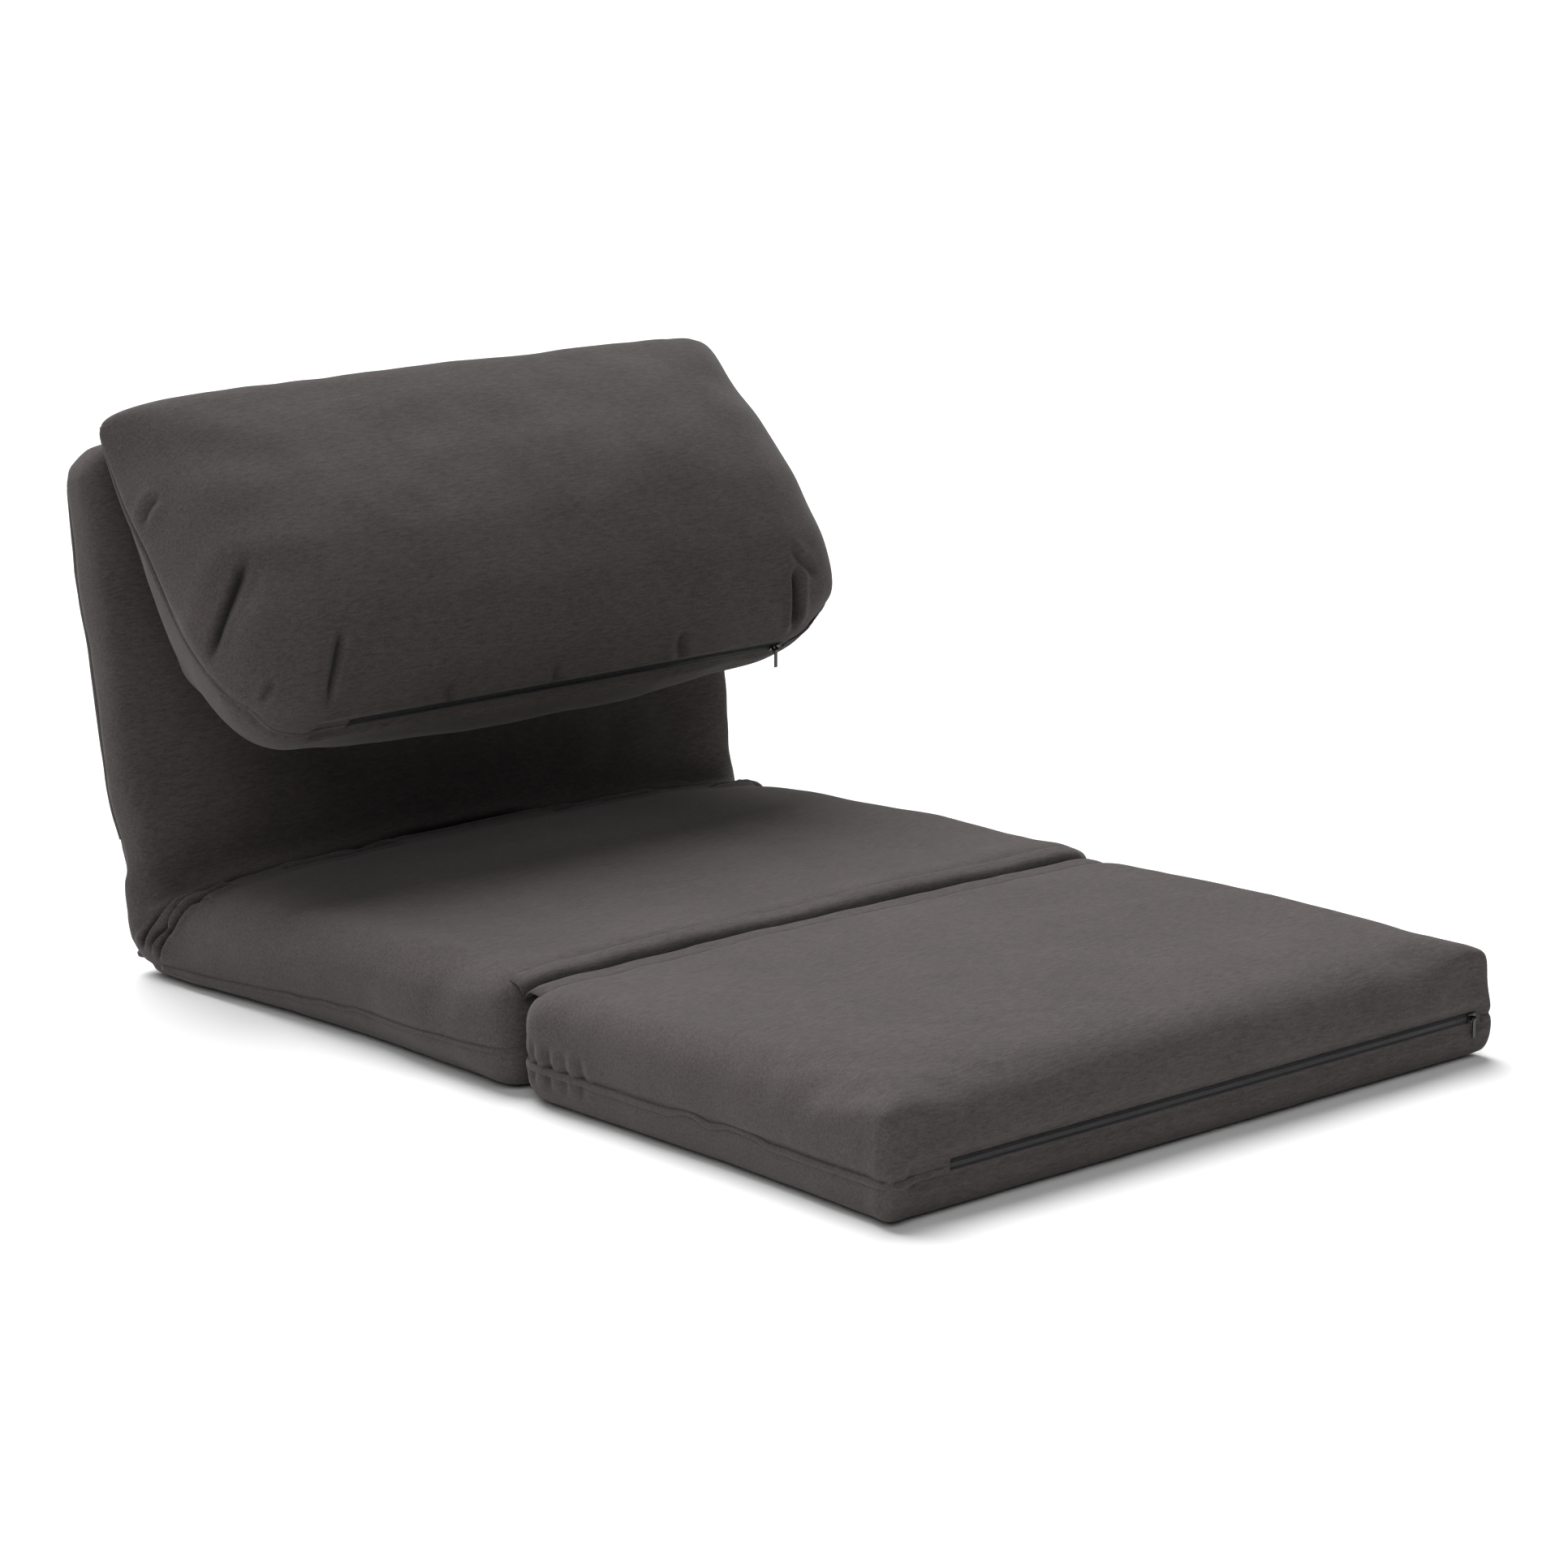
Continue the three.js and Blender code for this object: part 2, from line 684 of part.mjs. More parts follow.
function pillowForm() {
  const rest = (z) => backFrontY(z) - pillowRestGap;
  const [restTop, restFoot] = pillowRestShares.map((share) => mix(pillowLow, pillowHigh, share));
  const at = ([reachShare, riseShare]) => new THREE.Vector2(
    -pillowReach * reachShare,
    mix(pillowLow, pillowHigh, riseShare),
  );
  const path = new THREE.Path();
  path.moveTo(foldLineY - pillowNoseGap, foldLineZ - pillowNoseHalf);
  path.splineThru([
    new THREE.Vector2(rest(backLength) - pillowNoseHalf, backLength - pillowNeckDrop),
    new THREE.Vector2(rest(restTop), restTop),
  ]);
  path.lineTo(rest(restFoot), restFoot);
  path.splineThru([
    ...pillowUnderShares.map(at),
    new THREE.Vector2(-pillowSeamReach, pillowSeamRise),
  ]);
  path.splineThru([
    ...pillowFaceShares.map(at),
    new THREE.Vector2(foldLineY - pillowNoseGap, foldLineZ + pillowNoseHalf),
  ]);
  path.lineTo(foldLineY - pillowNoseGap, foldLineZ - pillowNoseHalf);
  const spine = [
    new THREE.Vector2(-pillowSpineReach, backLength - pillowSpineDrop),
    new THREE.Vector2(-pillowSeamReach, pillowLow + pillowSpineLift),
  ];
  const direction = new THREE.Vector2().subVectors(spine[1], spine[0]).normalize();
  const loop = outline(path, longestRun);
  const places = loop.map((point) => point.dot(direction));
  return {
    loop,
    spine,
    half: halfWidth,
    edge: pillowEdgeWidth,
    spread: 0,
    low: Math.min(...places),
    high: Math.max(...places),
    lowCorner: 0,
    highCorner: pillowCornerRadius,
    upperSign: -1,
    crownPower: 3,
    crown: (upper, share) => (
      pillowCrownShare * (1 - THREE.MathUtils.smoothstep(share, ...pillowCrownRunShares))
    ),
    endShare: (upper) => mix(...pillowEndShares, upper),
  };
}

const seatShape = seatForm();
const footrestShape = footrestForm();
const backShape = backForm();
const pillowShape = pillowForm();

const floorChair = new THREE.Group();
const backGroup = new THREE.Group();
backGroup.position.set(0, pivotY, pivotZ);
backGroup.rotation.x = -radians(backTilt);
floorChair.add(backGroup);

// Steel tubes
const upright = new THREE.Vector3(0, 0, 1);
const rearward = new THREE.Vector3(0, 1, 0);

function lengthened(path, extra) {
  const first = new THREE.Vector3().subVectors(path[0], path[1]).normalize();
  const final = new THREE.Vector3().subVectors(path.at(-1), path.at(-2)).normalize();
  return [
    path[0].clone().addScaledVector(first, extra),
    ...path.slice(1, -1),
    path.at(-1).clone().addScaledVector(final, extra),
  ];
}

function hollowTube(path, planeNormal, radius) {
  const bore = bentTube(lengthened(path, cutOverrun), planeNormal, radius - tubeWall);
  return bentTube(path, planeNormal, radius).subtract(bore);
}

function channel(path, planeNormal, radius) {
  return bentTube(lengthened(path, cutOverrun), planeNormal, radius + tubeClearance);
}

const seatTubeFront = foldY + seatTubeFrontInset;
const seatTubePath = roundedPath([
  new THREE.Vector3(-tubeSpread, pivotY - seatTubeEnd, pivotZ),
  new THREE.Vector3(-tubeSpread, seatTubeFront, pivotZ),
  new THREE.Vector3(tubeSpread, seatTubeFront, pivotZ),
  new THREE.Vector3(tubeSpread, pivotY - seatTubeEnd, pivotZ),
], tubeBend);

const backMiddle = (backFrontY(armElbow) + backRearY(armElbow)) / 2;
const backTubeTop = backLength - backTubeTopInset;
const backTubePath = roundedPath([
  new THREE.Vector3(-tubeSpread, backMiddle, backTubeFoot),
  new THREE.Vector3(-tubeSpread, backMiddle, backTubeTop),
  new THREE.Vector3(tubeSpread, backMiddle, backTubeTop),
  new THREE.Vector3(tubeSpread, backMiddle, backTubeFoot),
], tubeBend);

function crossPath(y, z) {
  const reach = tubeSpread - tubeRadius - touchGap;
  return [new THREE.Vector3(-reach, y, z), new THREE.Vector3(reach, y, z)];
}

const crossRadius = crossTubeDiameter / 2;
const seatCrossPaths = {
  seat_cross_tube_rear: crossPath(pivotY - seatCrossRear, pivotZ),
  seat_cross_tube_front: crossPath(pivotY - seatCrossFront, pivotZ),
};
const backCrossPaths = {
  back_cross_tube_low: crossPath(backMiddle, backCrossLow),
  back_cross_tube_high: crossPath(backMiddle, backCrossHigh),
};

// Places of the fasteners, from the recline axis
const seatRivetPlaces = [seatTubeEnd + tubeRadius, seatTubeEnd + tubeRadius + rivetSpacing];
const backRivetHeight = (backTubeFoot + armTop) / 2;

function rivet(reach, y, z, radius, headRadius, sides = holeSides) {
  return turned([
    [0, -reach - headThickness],
    [headRadius * rivetCrownShare, -reach - headThickness],
    [headRadius, -reach - headThickness * rivetRimShare],
    [headRadius, -reach],
    [radius, -reach],
    [radius, reach],
    [headRadius, reach],
    [headRadius, reach + headThickness * rivetRimShare],
    [headRadius * rivetCrownShare, reach + headThickness],
    [0, reach + headThickness],
  ], y, z, sides);
}

function hole(y, z, radius, reach, sides = holeSides) {
  return turned([[0, -reach], [radius, -reach], [radius, reach], [0, reach]], y, z, sides);
}

// Ratchet hinges, drawn from the recline axis and carried to each side
const polar = (angle, radius) => new THREE.Vector2(
  radius * Math.cos(radians(angle)),
  radius * Math.sin(radians(angle)),
);
const pawlPin = polar(pawlPinAngle, pawlPinDistance);
const plateReach = plateGapHalf + plateThickness;

function hingePlateShape() {
  const shape = new THREE.Shape();
  const springFoot = polar(springFrom, plateChinReach);
  const springToe = polar(springTo, plateChinReach);
  shape.moveTo(-plateTailLength, -plateTailHalf);
  shape.lineTo(pawlPin.x - pawlBossRadius, -plateChinDrop);
  shape.lineTo(springFoot.x, springFoot.y);
  shape.lineTo(springToe.x, springToe.y);
  shape.absarc(0, 0, pivotBossRadius, radians(plateBossFrom), radians(plateBossTo), false);
  shape.lineTo(pawlPin.x, plateTailHalf);
  shape.lineTo(-plateTailLength, plateTailHalf);
  shape.closePath();
  return shape;
}

function hingePlate(from) {
  const reach = chairWidth;
  let solid = plate(hingePlateShape(), from, from + plateThickness);
  solid = solid.subtract(hole(0, 0, pivotRadius + pinClearance, reach, pivotSides));
  solid = solid.subtract(
    hole(pawlPin.x, pawlPin.y, pawlPinRadius + pinClearance, reach, pivotSides),
  );
  for (const place of seatRivetPlaces) {
    solid = solid.subtract(hole(-place, 0, rivetRadius + pinClearance, reach));
  }
  return solid;
}

// The gear turns with the back, so its teeth are set ahead by the back's tilt
function gearArm() {
  const gapAngle = pawlNoseAngle + backTilt;
  const shape = new THREE.Shape();
  const firstAngle = gapAngle + clickAngle * (0.5 - teethBefore);
  const teeth = [];
  for (let k = 0; k < teethBefore + teethAfter; k += 1) {
    const centre = firstAngle + clickAngle * k;
    const [low, rise, fall, high] = toothRiseShares.map((share) => centre + clickAngle * share);
    teeth.push(
      polar(low, gearRootRadius),
      polar(rise, gearTipRadius),
      polar(fall, gearTipRadius),
      polar(high, gearRootRadius),
    );
  }
  const lastAngle = firstAngle + clickAngle * (teethBefore + teethAfter);
  const plainSteps = 14;
  for (let k = 1; k < plainSteps; k += 1) {
    teeth.push(polar(mix(lastAngle, firstAngle + 360, k / plainSteps), gearRootRadius));
  }
  shape.setFromPoints(teeth);
  const arm = new THREE.Shape();
  const elbow = new THREE.Vector2(backMiddle, armElbow);
  const lean = elbow.clone().normalize().multiplyScalar(armHalf);
  arm.moveTo(-lean.y, lean.x);
  arm.lineTo(elbow.x - armHalf, elbow.y + armHalf / 4);
  arm.lineTo(elbow.x - armHalf, armTop - armHalf);
  arm.absarc(elbow.x, armTop - armHalf, armHalf, Math.PI, 0, true);
  arm.lineTo(elbow.x + armHalf, elbow.y - armHalf / 4);
  arm.lineTo(lean.y, -lean.x);
  arm.closePath();
  const half = gearThickness / 2;
  let solid = plate(shape, -half, half).add(plate(arm, -half, half));
  solid = solid.subtract(hole(0, 0, pivotRadius + pinClearance, gearThickness, pivotSides));
  return solid.subtract(hole(backMiddle, backRivetHeight, rivetRadius + pinClearance, gearThickness));
}

// The pawl is drawn seated in a tooth gap, then swung clear of the tips about its pin
function pawl() {
  const shape = new THREE.Shape();
  const noseAt = (share, radius) => polar(pawlNoseAngle + clickAngle * share, radius);
  const inner = gearTipRadius + pawlTipClearance;
  const [rear, rearTip, frontTip, front] = pawlNoseShares;
  const [outerWaist, innerWaist] = pawlWaistShares.map((share) => mix(pawlPinAngle, pawlNoseAngle, share));
  const boss = Array.from({ length: pawlBossSteps + 1 }, (_, k) => (
    pawlPin.clone().add(polar(mix(pawlBossFrom, pawlBossTo, k / pawlBossSteps), pawlBossRadius))
  ));
  shape.setFromPoints([
    noseAt(rear, inner),
    noseAt(rearTip, gearRootRadius + pawlTipClearance),
    noseAt(frontTip, gearRootRadius + pawlTipClearance),
    noseAt(front, inner),
    noseAt(front * 2, inner + pawlTipClearance),
    noseAt(front * 2, pawlBackRadius),
    polar(outerWaist, pawlBackRadius + pawlWaist),
    ...boss,
    polar(innerWaist, inner + pawlWaist - pawlTipClearance * 2),
  ].reverse());
  const half = gearThickness / 2;
  const bore = hole(pawlPin.x, pawlPin.y, pawlPinRadius + pinClearance, gearThickness, pivotSides);
  return plate(shape, -half, half)
    .subtract(bore)
    .translate([0, -pawlPin.x, -pawlPin.y])
    .rotate([-pawlLift, 0, 0])
    .translate([0, pawlPin.x, pawlPin.y]);
}

function pawlSpring() {
  const shape = new THREE.Shape();
  shape.absarc(0, 0, springRadius + springThickness, radians(springFrom), radians(springTo), false);
  shape.absarc(0, 0, springRadius, radians(springTo), radians(springFrom), true);
  shape.closePath();
  const half = plateGapHalf - touchGap;
  return plate(shape, -half, half, 6);
}

// Openings in the seat that the hinge works in
function hingePocket(side) {
  const reach = plateReach + headThickness + tubeClearance;
  const tail = plateTailLength + tubeClearance;
  return block(
    new THREE.Vector3(side * tubeSpread - reach, -tail, pocketFloor - heelRadius),
    new THREE.Vector3(side * tubeSpread + reach, heelRadius + cutOverrun, heelRadius + cutOverrun),
  ).translate([0, pivotY, pivotZ]);
}

function armSlot(side) {
  const reach = gearThickness / 2 + armHalf / 4;
  return block(
    new THREE.Vector3(side * tubeSpread - reach, -armHalf, -pivotBossRadius),
    new THREE.Vector3(side * tubeSpread + reach, heelRadius + cutOverrun, heelRadius + cutOverrun * 2),
  ).translate([0, pivotY, pivotZ]);
}

function armPocket(side, reach) {
  const rear = backMiddle + armHalf + tubeClearance;
  return block(
    new THREE.Vector3(side * tubeSpread - reach, backMiddle - armHalf * 2, 0),
    new THREE.Vector3(side * tubeSpread + reach, rear, armTop + tubeClearance),
  );
}

const sides = { left: -1, right: 1 };

// Everything below the floor, which a cushion's underside is cut flat against
const underFloor = block(
  new THREE.Vector3(-chairWidth, -chairWidth * 2, -heelRadius),
  new THREE.Vector3(chairWidth, chairWidth, 0),
);

// Seat
const foamDepth = clothThickness + softGap * 2;
const seatShell = cushion(seatShape).subtract(cushion(seatShape, clothThickness));
const seatSeam = (drop) => below(
  foldY - cutOverrun, seatSeamFront - drop,
  pivotY + heelRadius + cutOverrun, seatSeamRear - drop,
  chairWidth,
);
let seatCover = seatShell.subtract(seatSeam(0));
let seatFoam = cushion(seatShape, foamDepth);
for (const path of [seatTubePath, ...Object.values(seatCrossPaths)]) {
  const radius = path === seatTubePath ? tubeRadius : crossRadius;
  seatFoam = seatFoam.subtract(channel(path, upright, radius));
}
for (const side of Object.values(sides)) {
  seatCover = seatCover.subtract(armSlot(side));
  seatFoam = seatFoam.subtract(hingePocket(side));
}
node('seat_cover', seatCover, clothFinish, floorChair);
const seatBase = seatShell.intersect(seatSeam(seamGap)).subtract(underFloor);
node('seat_base_panel', seatBase, baseClothFinish, floorChair);
node('seat_foam', seatFoam, foamFinish, floorChair);

const seatTubeHoles = (tube) => seatRivetPlaces.reduce(
  (solid, place) => solid.subtract(hole(pivotY - place, pivotZ, rivetRadius + pinClearance, chairWidth)),
  tube,
);
const seatTube = seatTubeHoles(hollowTube(seatTubePath, upright, tubeRadius));
node('seat_frame_tube', seatTube, tubeFinish, floorChair);
for (const [name, path] of Object.entries(seatCrossPaths)) {
  node(name, hollowTube(path, upright, crossRadius), tubeFinish, floorChair);
}

// Sewn strip that the footrest folds about
const stripHalf = halfWidth - seatEdgeWidth;
const stripLow = foldHeight / 2;
const halfStrip = stripThickness / 2;
node('footrest_fold_strip', block(
  new THREE.Vector3(-stripHalf, foldY - halfStrip, stripLow),
  new THREE.Vector3(stripHalf, foldY + halfStrip, foldHeight),
), clothFinish, floorChair);

// Hinges
for (const [sideName, side] of Object.entries(sides)) {
  const x = side * tubeSpread;
  const hinge = new THREE.Group();
  hinge.position.set(x, pivotY, pivotZ);
  floorChair.add(hinge);
  const outerFrom = side > 0 ? plateGapHalf : -plateReach;
  const innerFrom = side > 0 ? -plateReach : plateGapHalf;
  node(`hinge_outer_plate_${sideName}`, hingePlate(outerFrom), zincFinish, hinge);
  node(`hinge_inner_plate_${sideName}`, hingePlate(innerFrom), zincFinish, hinge);
  node(`pawl_${sideName}`, pawl(), zincFinish, hinge);
  node(`pawl_spring_${sideName}`, pawlSpring(), zincFinish, hinge);
  const reach = plateReach + touchGap;
  node(
    `pivot_rivet_${sideName}`,
    rivet(reach, 0, 0, pivotRadius, pivotHeadRadius, pivotSides),
    zincFinish,
    hinge,
  );
  node(
    `pawl_pin_${sideName}`,
    rivet(reach, pawlPin.x, pawlPin.y, pawlPinRadius, rivetHeadRadius, pivotSides),
    zincFinish,
    hinge,
  );
  seatRivetPlaces.forEach((place, i) => {
    const solid = rivet(reach, -place, 0, rivetRadius, rivetHeadRadius);
    node(`seat_tube_rivet_${sideName}_${i + 1}`, solid, zincFinish, hinge);
  });
  const arm = new THREE.Group();
  arm.position.x = x;
  backGroup.add(arm);
  node(`gear_arm_${sideName}`, gearArm(), zincFinish, arm);
  node(
    `back_tube_rivet_${sideName}`,
    rivet(tubeRadius + touchGap, backMiddle, backRivetHeight, rivetRadius, rivetHeadRadius),
    zincFinish,
    arm,
  );
}

// Backrest
const backShell = cushion(backShape).subtract(cushion(backShape, clothThickness));
const backSeam = (drop) => {
  const shape = new THREE.Shape();
  const inset = backSeamInset + drop;
  shape.moveTo(backRearY(-cutOverrun) - inset, -cutOverrun);
  shape.lineTo(backRearY(backLength + cutOverrun) - inset, backLength + cutOverrun);
  shape.lineTo(chairWidth, backLength + cutOverrun);
  shape.lineTo(chairWidth, -cutOverrun);
  shape.closePath();
  return plate(shape, -chairWidth, chairWidth);
};
let backFront = backShell.subtract(backSeam(seamGap));
let backRear = backShell.intersect(backSeam(0));
let backFoam = cushion(backShape, foamDepth);
let backTube = hollowTube(backTubePath, rearward, tubeRadius);
for (const path of [backTubePath, ...Object.values(backCrossPaths)]) {
  const radius = path === backTubePath ? tubeRadius : crossRadius;
  backFoam = backFoam.subtract(channel(path, rearward, radius));
}
for (const side of Object.values(sides)) {
  backFront = backFront.subtract(armPocket(side, gearThickness));
  backRear = backRear.subtract(armPocket(side, gearThickness));
  backFoam = backFoam.subtract(armPocket(side, tubeRadius + rivetHeadRadius));
  backTube = backTube.subtract(armPocket(side, gearThickness / 2 + tubeSlotClearance));
}
backTube = backTube.subtract(hole(backMiddle, backRivetHeight, rivetRadius + pinClearance, chairWidth));
node('back_cover_front', backFront, clothFinish, backGroup);
node('back_cover_rear', backRear, clothFinish, backGroup);
node('back_foam', backFoam, foamFinish, backGroup);
node('back_frame_tube', backTube, tubeFinish, backGroup);
for (const [name, path] of Object.entries(backCrossPaths)) {
  node(name, hollowTube(path, rearward, crossRadius), tubeFinish, backGroup);
}

// Sewn strip that the pillow folds about
const shoulderZ = backLength - backTopRadius;
const shoulderHalf = (backRearY(shoulderZ) - backFrontY(shoulderZ)) / 2;
const crestAngle = Math.acos((foldLineY - backMiddle) / shoulderHalf);
const crestZ = shoulderZ + backTopRadius * Math.sin(crestAngle);
node('pillow_fold_strip', block(
  new THREE.Vector3(-stripHalf + backCornerRadius / 2, foldLineY - halfStrip, crestZ + touchGap),
  new THREE.Vector3(stripHalf - backCornerRadius / 2, foldLineY + halfStrip, foldLineZ),
), clothFinish, backGroup);

// Zips, drawn flat with their face towards -Y and their run along X
function zipPrism(shape, nearY, farY) {
  const geometry = new THREE.ExtrudeGeometry(shape, { depth: farY - nearY, bevelEnabled: false, steps: 1 });
  geometry.rotateX(Math.PI / 2);
  geometry.translate(0, farY, 0);
  return solidOf(geometry);
}

function zipRow(start, end, side) {
  const inner = zipCoreHalf;
  const outer = zipCoreHalf + zipRowHalf;
  const rootHeight = mix(inner, outer, zipRootShare);
  const shape = new THREE.Shape();
  const points = [new THREE.Vector2(start, outer), new THREE.Vector2(start, rootHeight)];
  const pairs = Math.floor((end - start) / zipToothPitch);
  for (let k = 0; k < pairs; k += 1) {
    const from = start + (k + 0.5) * zipToothPitch - zipToothLength / 2;
    points.push(
      new THREE.Vector2(from, rootHeight),
      new THREE.Vector2(from, inner),
      new THREE.Vector2(from + zipToothLength, inner),
      new THREE.Vector2(from + zipToothLength, rootHeight),
    );
  }
  points.push(new THREE.Vector2(end, rootHeight), new THREE.Vector2(end, outer));
  shape.setFromPoints(points);
  const tapeFrom = zipRecess + (zipRowDepth - zipTapeThickness) / 2;
  const row = zipPrism(shape, zipRecess, zipRecess + zipRowDepth);
  const tape = block(
    new THREE.Vector3(start - zipEndMargin, tapeFrom, rootHeight),
    new THREE.Vector3(end + zipEndMargin, tapeFrom + zipTapeThickness, zipTapeHalf),
  );
  const solid = row.add(tape);
  return side > 0 ? solid : solid.mirror([0, 0, 1]);
}

function zipSlider() {
  const half = sliderLength / 2;
  const frontFar = zipRecess - sliderClearance;
  const backNear = zipRecess + zipRowDepth + sliderClearance;
  const front = block(
    new THREE.Vector3(-half, frontFar - sliderPlate, -sliderHalf),
    new THREE.Vector3(half, frontFar, sliderHalf),
  );
  const back = block(
    new THREE.Vector3(-half, backNear, -sliderHalf),
    new THREE.Vector3(half, backNear + sliderPlate, sliderHalf),
  );
  const post = block(
    new THREE.Vector3(half / 3, frontFar - sliderPlate / 2, -sliderPostHalf),
    new THREE.Vector3(half * 0.8, backNear + sliderPlate / 2, sliderPostHalf),
  );
  const pinY = frontFar - sliderPlate - bailReach;
  const earFrom = pullWidth / 2 + bailGap;
  let solid = front.add(back).add(post);
  for (const side of [-1, 1]) {
    const low = Math.min(side * earFrom, side * (earFrom + bailEar));
    solid = solid.add(block(
      new THREE.Vector3(low, pinY - bailPinRadius * 1.5, -bailPinRadius * 2),
      new THREE.Vector3(low + bailEar, frontFar - sliderPlate / 2, bailPinRadius * 2),
    ));
  }
  const reach = earFrom + bailEar / 2;
  const pinProfile = [[0, -reach], [bailPinRadius, -reach], [bailPinRadius, reach], [0, reach]];
  return solid.add(turned(pinProfile, pinY, 0, holeSides));
}

// The pull hangs from the bail pin, which is its origin
function zipPull() {
  const eyeInner = bailPinRadius + eyeClearance;
  const eyeOuter = eyeInner + eyeWall;
  const half = pullWidth / 2;
  const eye = turned([
    [eyeInner, -half],
    [eyeOuter, -half],
    [eyeOuter, half],
    [eyeInner, half],
    [eyeInner, -half],
  ], 0, 0, pivotSides);
  const tab = block(
    new THREE.Vector3(-half, -pullThickness / 2, -pullLength),
    new THREE.Vector3(half, pullThickness / 2, -eyeInner - eyeWall / 4),
  );
  return eye.add(tab);
}

function zipSlot(start, end, half, depth) {
  return block(
    new THREE.Vector3(start - zipEndMargin, -cutOverrun, -half),
    new THREE.Vector3(end + zipEndMargin, depth, half),
  );
}

// The room behind a zip that its tapes lie in
function zipRoom(start, end) {
  return zipSlot(start - zipEndMargin, end + zipEndMargin, zipTapeHalf + softGap, zipFloorDepth);
}

// Adds a zip's pieces to a group that stands at the seam, and gives the cuts it needs
function addZip(name, start, end, group, hang) {
  node(`${name}_zip_upper_tape`, zipRow(start, end, 1), zipFinish, group);
  node(`${name}_zip_lower_tape`, zipRow(start, end, -1), zipFinish, group);
  const slider = new THREE.Group();
  slider.position.x = end - sliderInset;
  group.add(slider);
  node(`${name}_zip_slider`, zipSlider(), pullFinish, slider);
  const pull = new THREE.Group();
  pull.position.y = zipRecess - sliderClearance - sliderPlate - bailReach;
  pull.rotation.x = -hang;
  slider.add(pull);
  node(`${name}_zip_pull`, zipPull(), pullFinish, pull);
}

// Footrest
const footrestFront = foldY - footrestLength;
const footrestZipPlace = new THREE.Group();
footrestZipPlace.position.set(0, footrestFront, footrestSeamHeight);
floorChair.add(footrestZipPlace);
const intoFootrest = (solid) => solid.translate([0, footrestFront, footrestSeamHeight]);
const footrestSlot = intoFootrest(
  zipSlot(footrestZipStart, footrestZipEnd, zipSlotHalf, clothThickness + cutOverrun / 2),
);
const footrestZipRoom = intoFootrest(zipRoom(footrestZipStart, footrestZipEnd));
const footrestShell = cushion(footrestShape).subtract(cushion(footrestShape, clothThickness));
const footrestSeam = (drop) => below(
  footrestFront - cutOverrun, footrestSeamHeight - drop,
  foldY + cutOverrun, footrestSeamHeight - drop,
  chairWidth,
);
const footrestTop = footrestShell.subtract(footrestSeam(0)).subtract(footrestSlot);
node('footrest_cover_top', footrestTop, clothFinish, floorChair);
node(
  'footrest_cover_base',
  footrestShell.intersect(footrestSeam(seamGap)).subtract(footrestSlot).subtract(underFloor),
  clothFinish,
  floorChair,
);
const footrestFoam = cushion(footrestShape, foamDepth).subtract(footrestZipRoom);
node('footrest_foam', footrestFoam, foamFinish, floorChair);
addZip('footrest', footrestZipStart, footrestZipEnd, footrestZipPlace, 0);

// Head pillow
const zipLean = radians(pillowZipTilt);
const pillowZipY = pillowZipSink * Math.cos(zipLean) - pillowSeamReach;
const pillowZipZ = pillowSeamRise + pillowZipSink * Math.sin(zipLean);
const pillowZipPlace = new THREE.Group();
pillowZipPlace.position.set(0, pillowZipY, pillowZipZ);
pillowZipPlace.rotation.x = zipLean;
backGroup.add(pillowZipPlace);
const intoPillow = (solid) => solid
  .rotate([pillowZipTilt, 0, 0])
  .translate([0, pillowZipY, pillowZipZ]);
const pillowSlot = intoPillow(
  zipSlot(pillowZipStart, pillowZipEnd, zipSlotHalf, clothThickness + cutOverrun / 2),
);
const pillowZipRoom = intoPillow(zipRoom(pillowZipStart, pillowZipEnd));
const pillowShell = cushion(pillowShape).subtract(cushion(pillowShape, clothThickness));
const pillowSeam = (drop) => {
  const top = foldLineZ - pillowNoseHalf * 2;
  const run = new THREE.Vector2(foldLineY + pillowSeamReach, top - pillowSeamRise);
  const over = cutOverrun / run.length();
  return below(
    -pillowSeamReach - run.x * over * 2, pillowSeamRise - run.y * over * 2 - drop,
    foldLineY + run.x * over, top + run.y * over - drop,
    chairWidth,
  );
};
const pillowTop = pillowShell.subtract(pillowSeam(0)).subtract(pillowSlot);
node('pillow_cover_top', pillowTop, clothFinish, backGroup);
node(
  'pillow_cover_under',
  pillowShell.intersect(pillowSeam(seamGap)).subtract(pillowSlot),
  clothFinish,
  backGroup,
);
const pillowFilling = cushion(pillowShape, foamDepth).subtract(pillowZipRoom);
node('pillow_filling', pillowFilling, foamFinish, backGroup);
addZip('pillow', pillowZipStart, pillowZipEnd, pillowZipPlace, radians(pillowZipTilt - backTilt));

export default floorChair;
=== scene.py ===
import math

import bmesh
import bpy
import numpy as np
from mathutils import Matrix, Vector, noise
from mathutils.bvhtree import BVHTree


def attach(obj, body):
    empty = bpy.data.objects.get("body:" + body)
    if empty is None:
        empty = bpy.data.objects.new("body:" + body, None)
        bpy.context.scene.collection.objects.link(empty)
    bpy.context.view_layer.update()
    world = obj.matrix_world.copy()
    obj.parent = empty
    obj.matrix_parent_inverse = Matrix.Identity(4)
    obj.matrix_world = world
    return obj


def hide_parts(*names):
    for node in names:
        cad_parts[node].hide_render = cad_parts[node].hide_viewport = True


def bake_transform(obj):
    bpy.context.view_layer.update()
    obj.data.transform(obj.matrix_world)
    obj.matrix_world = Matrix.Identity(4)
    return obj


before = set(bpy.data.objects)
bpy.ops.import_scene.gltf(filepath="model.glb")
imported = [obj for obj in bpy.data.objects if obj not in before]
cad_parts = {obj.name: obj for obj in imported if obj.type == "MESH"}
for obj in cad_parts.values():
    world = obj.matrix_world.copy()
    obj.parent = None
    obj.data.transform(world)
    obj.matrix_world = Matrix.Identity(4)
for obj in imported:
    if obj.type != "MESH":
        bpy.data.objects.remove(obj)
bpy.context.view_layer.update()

MM = 0.001
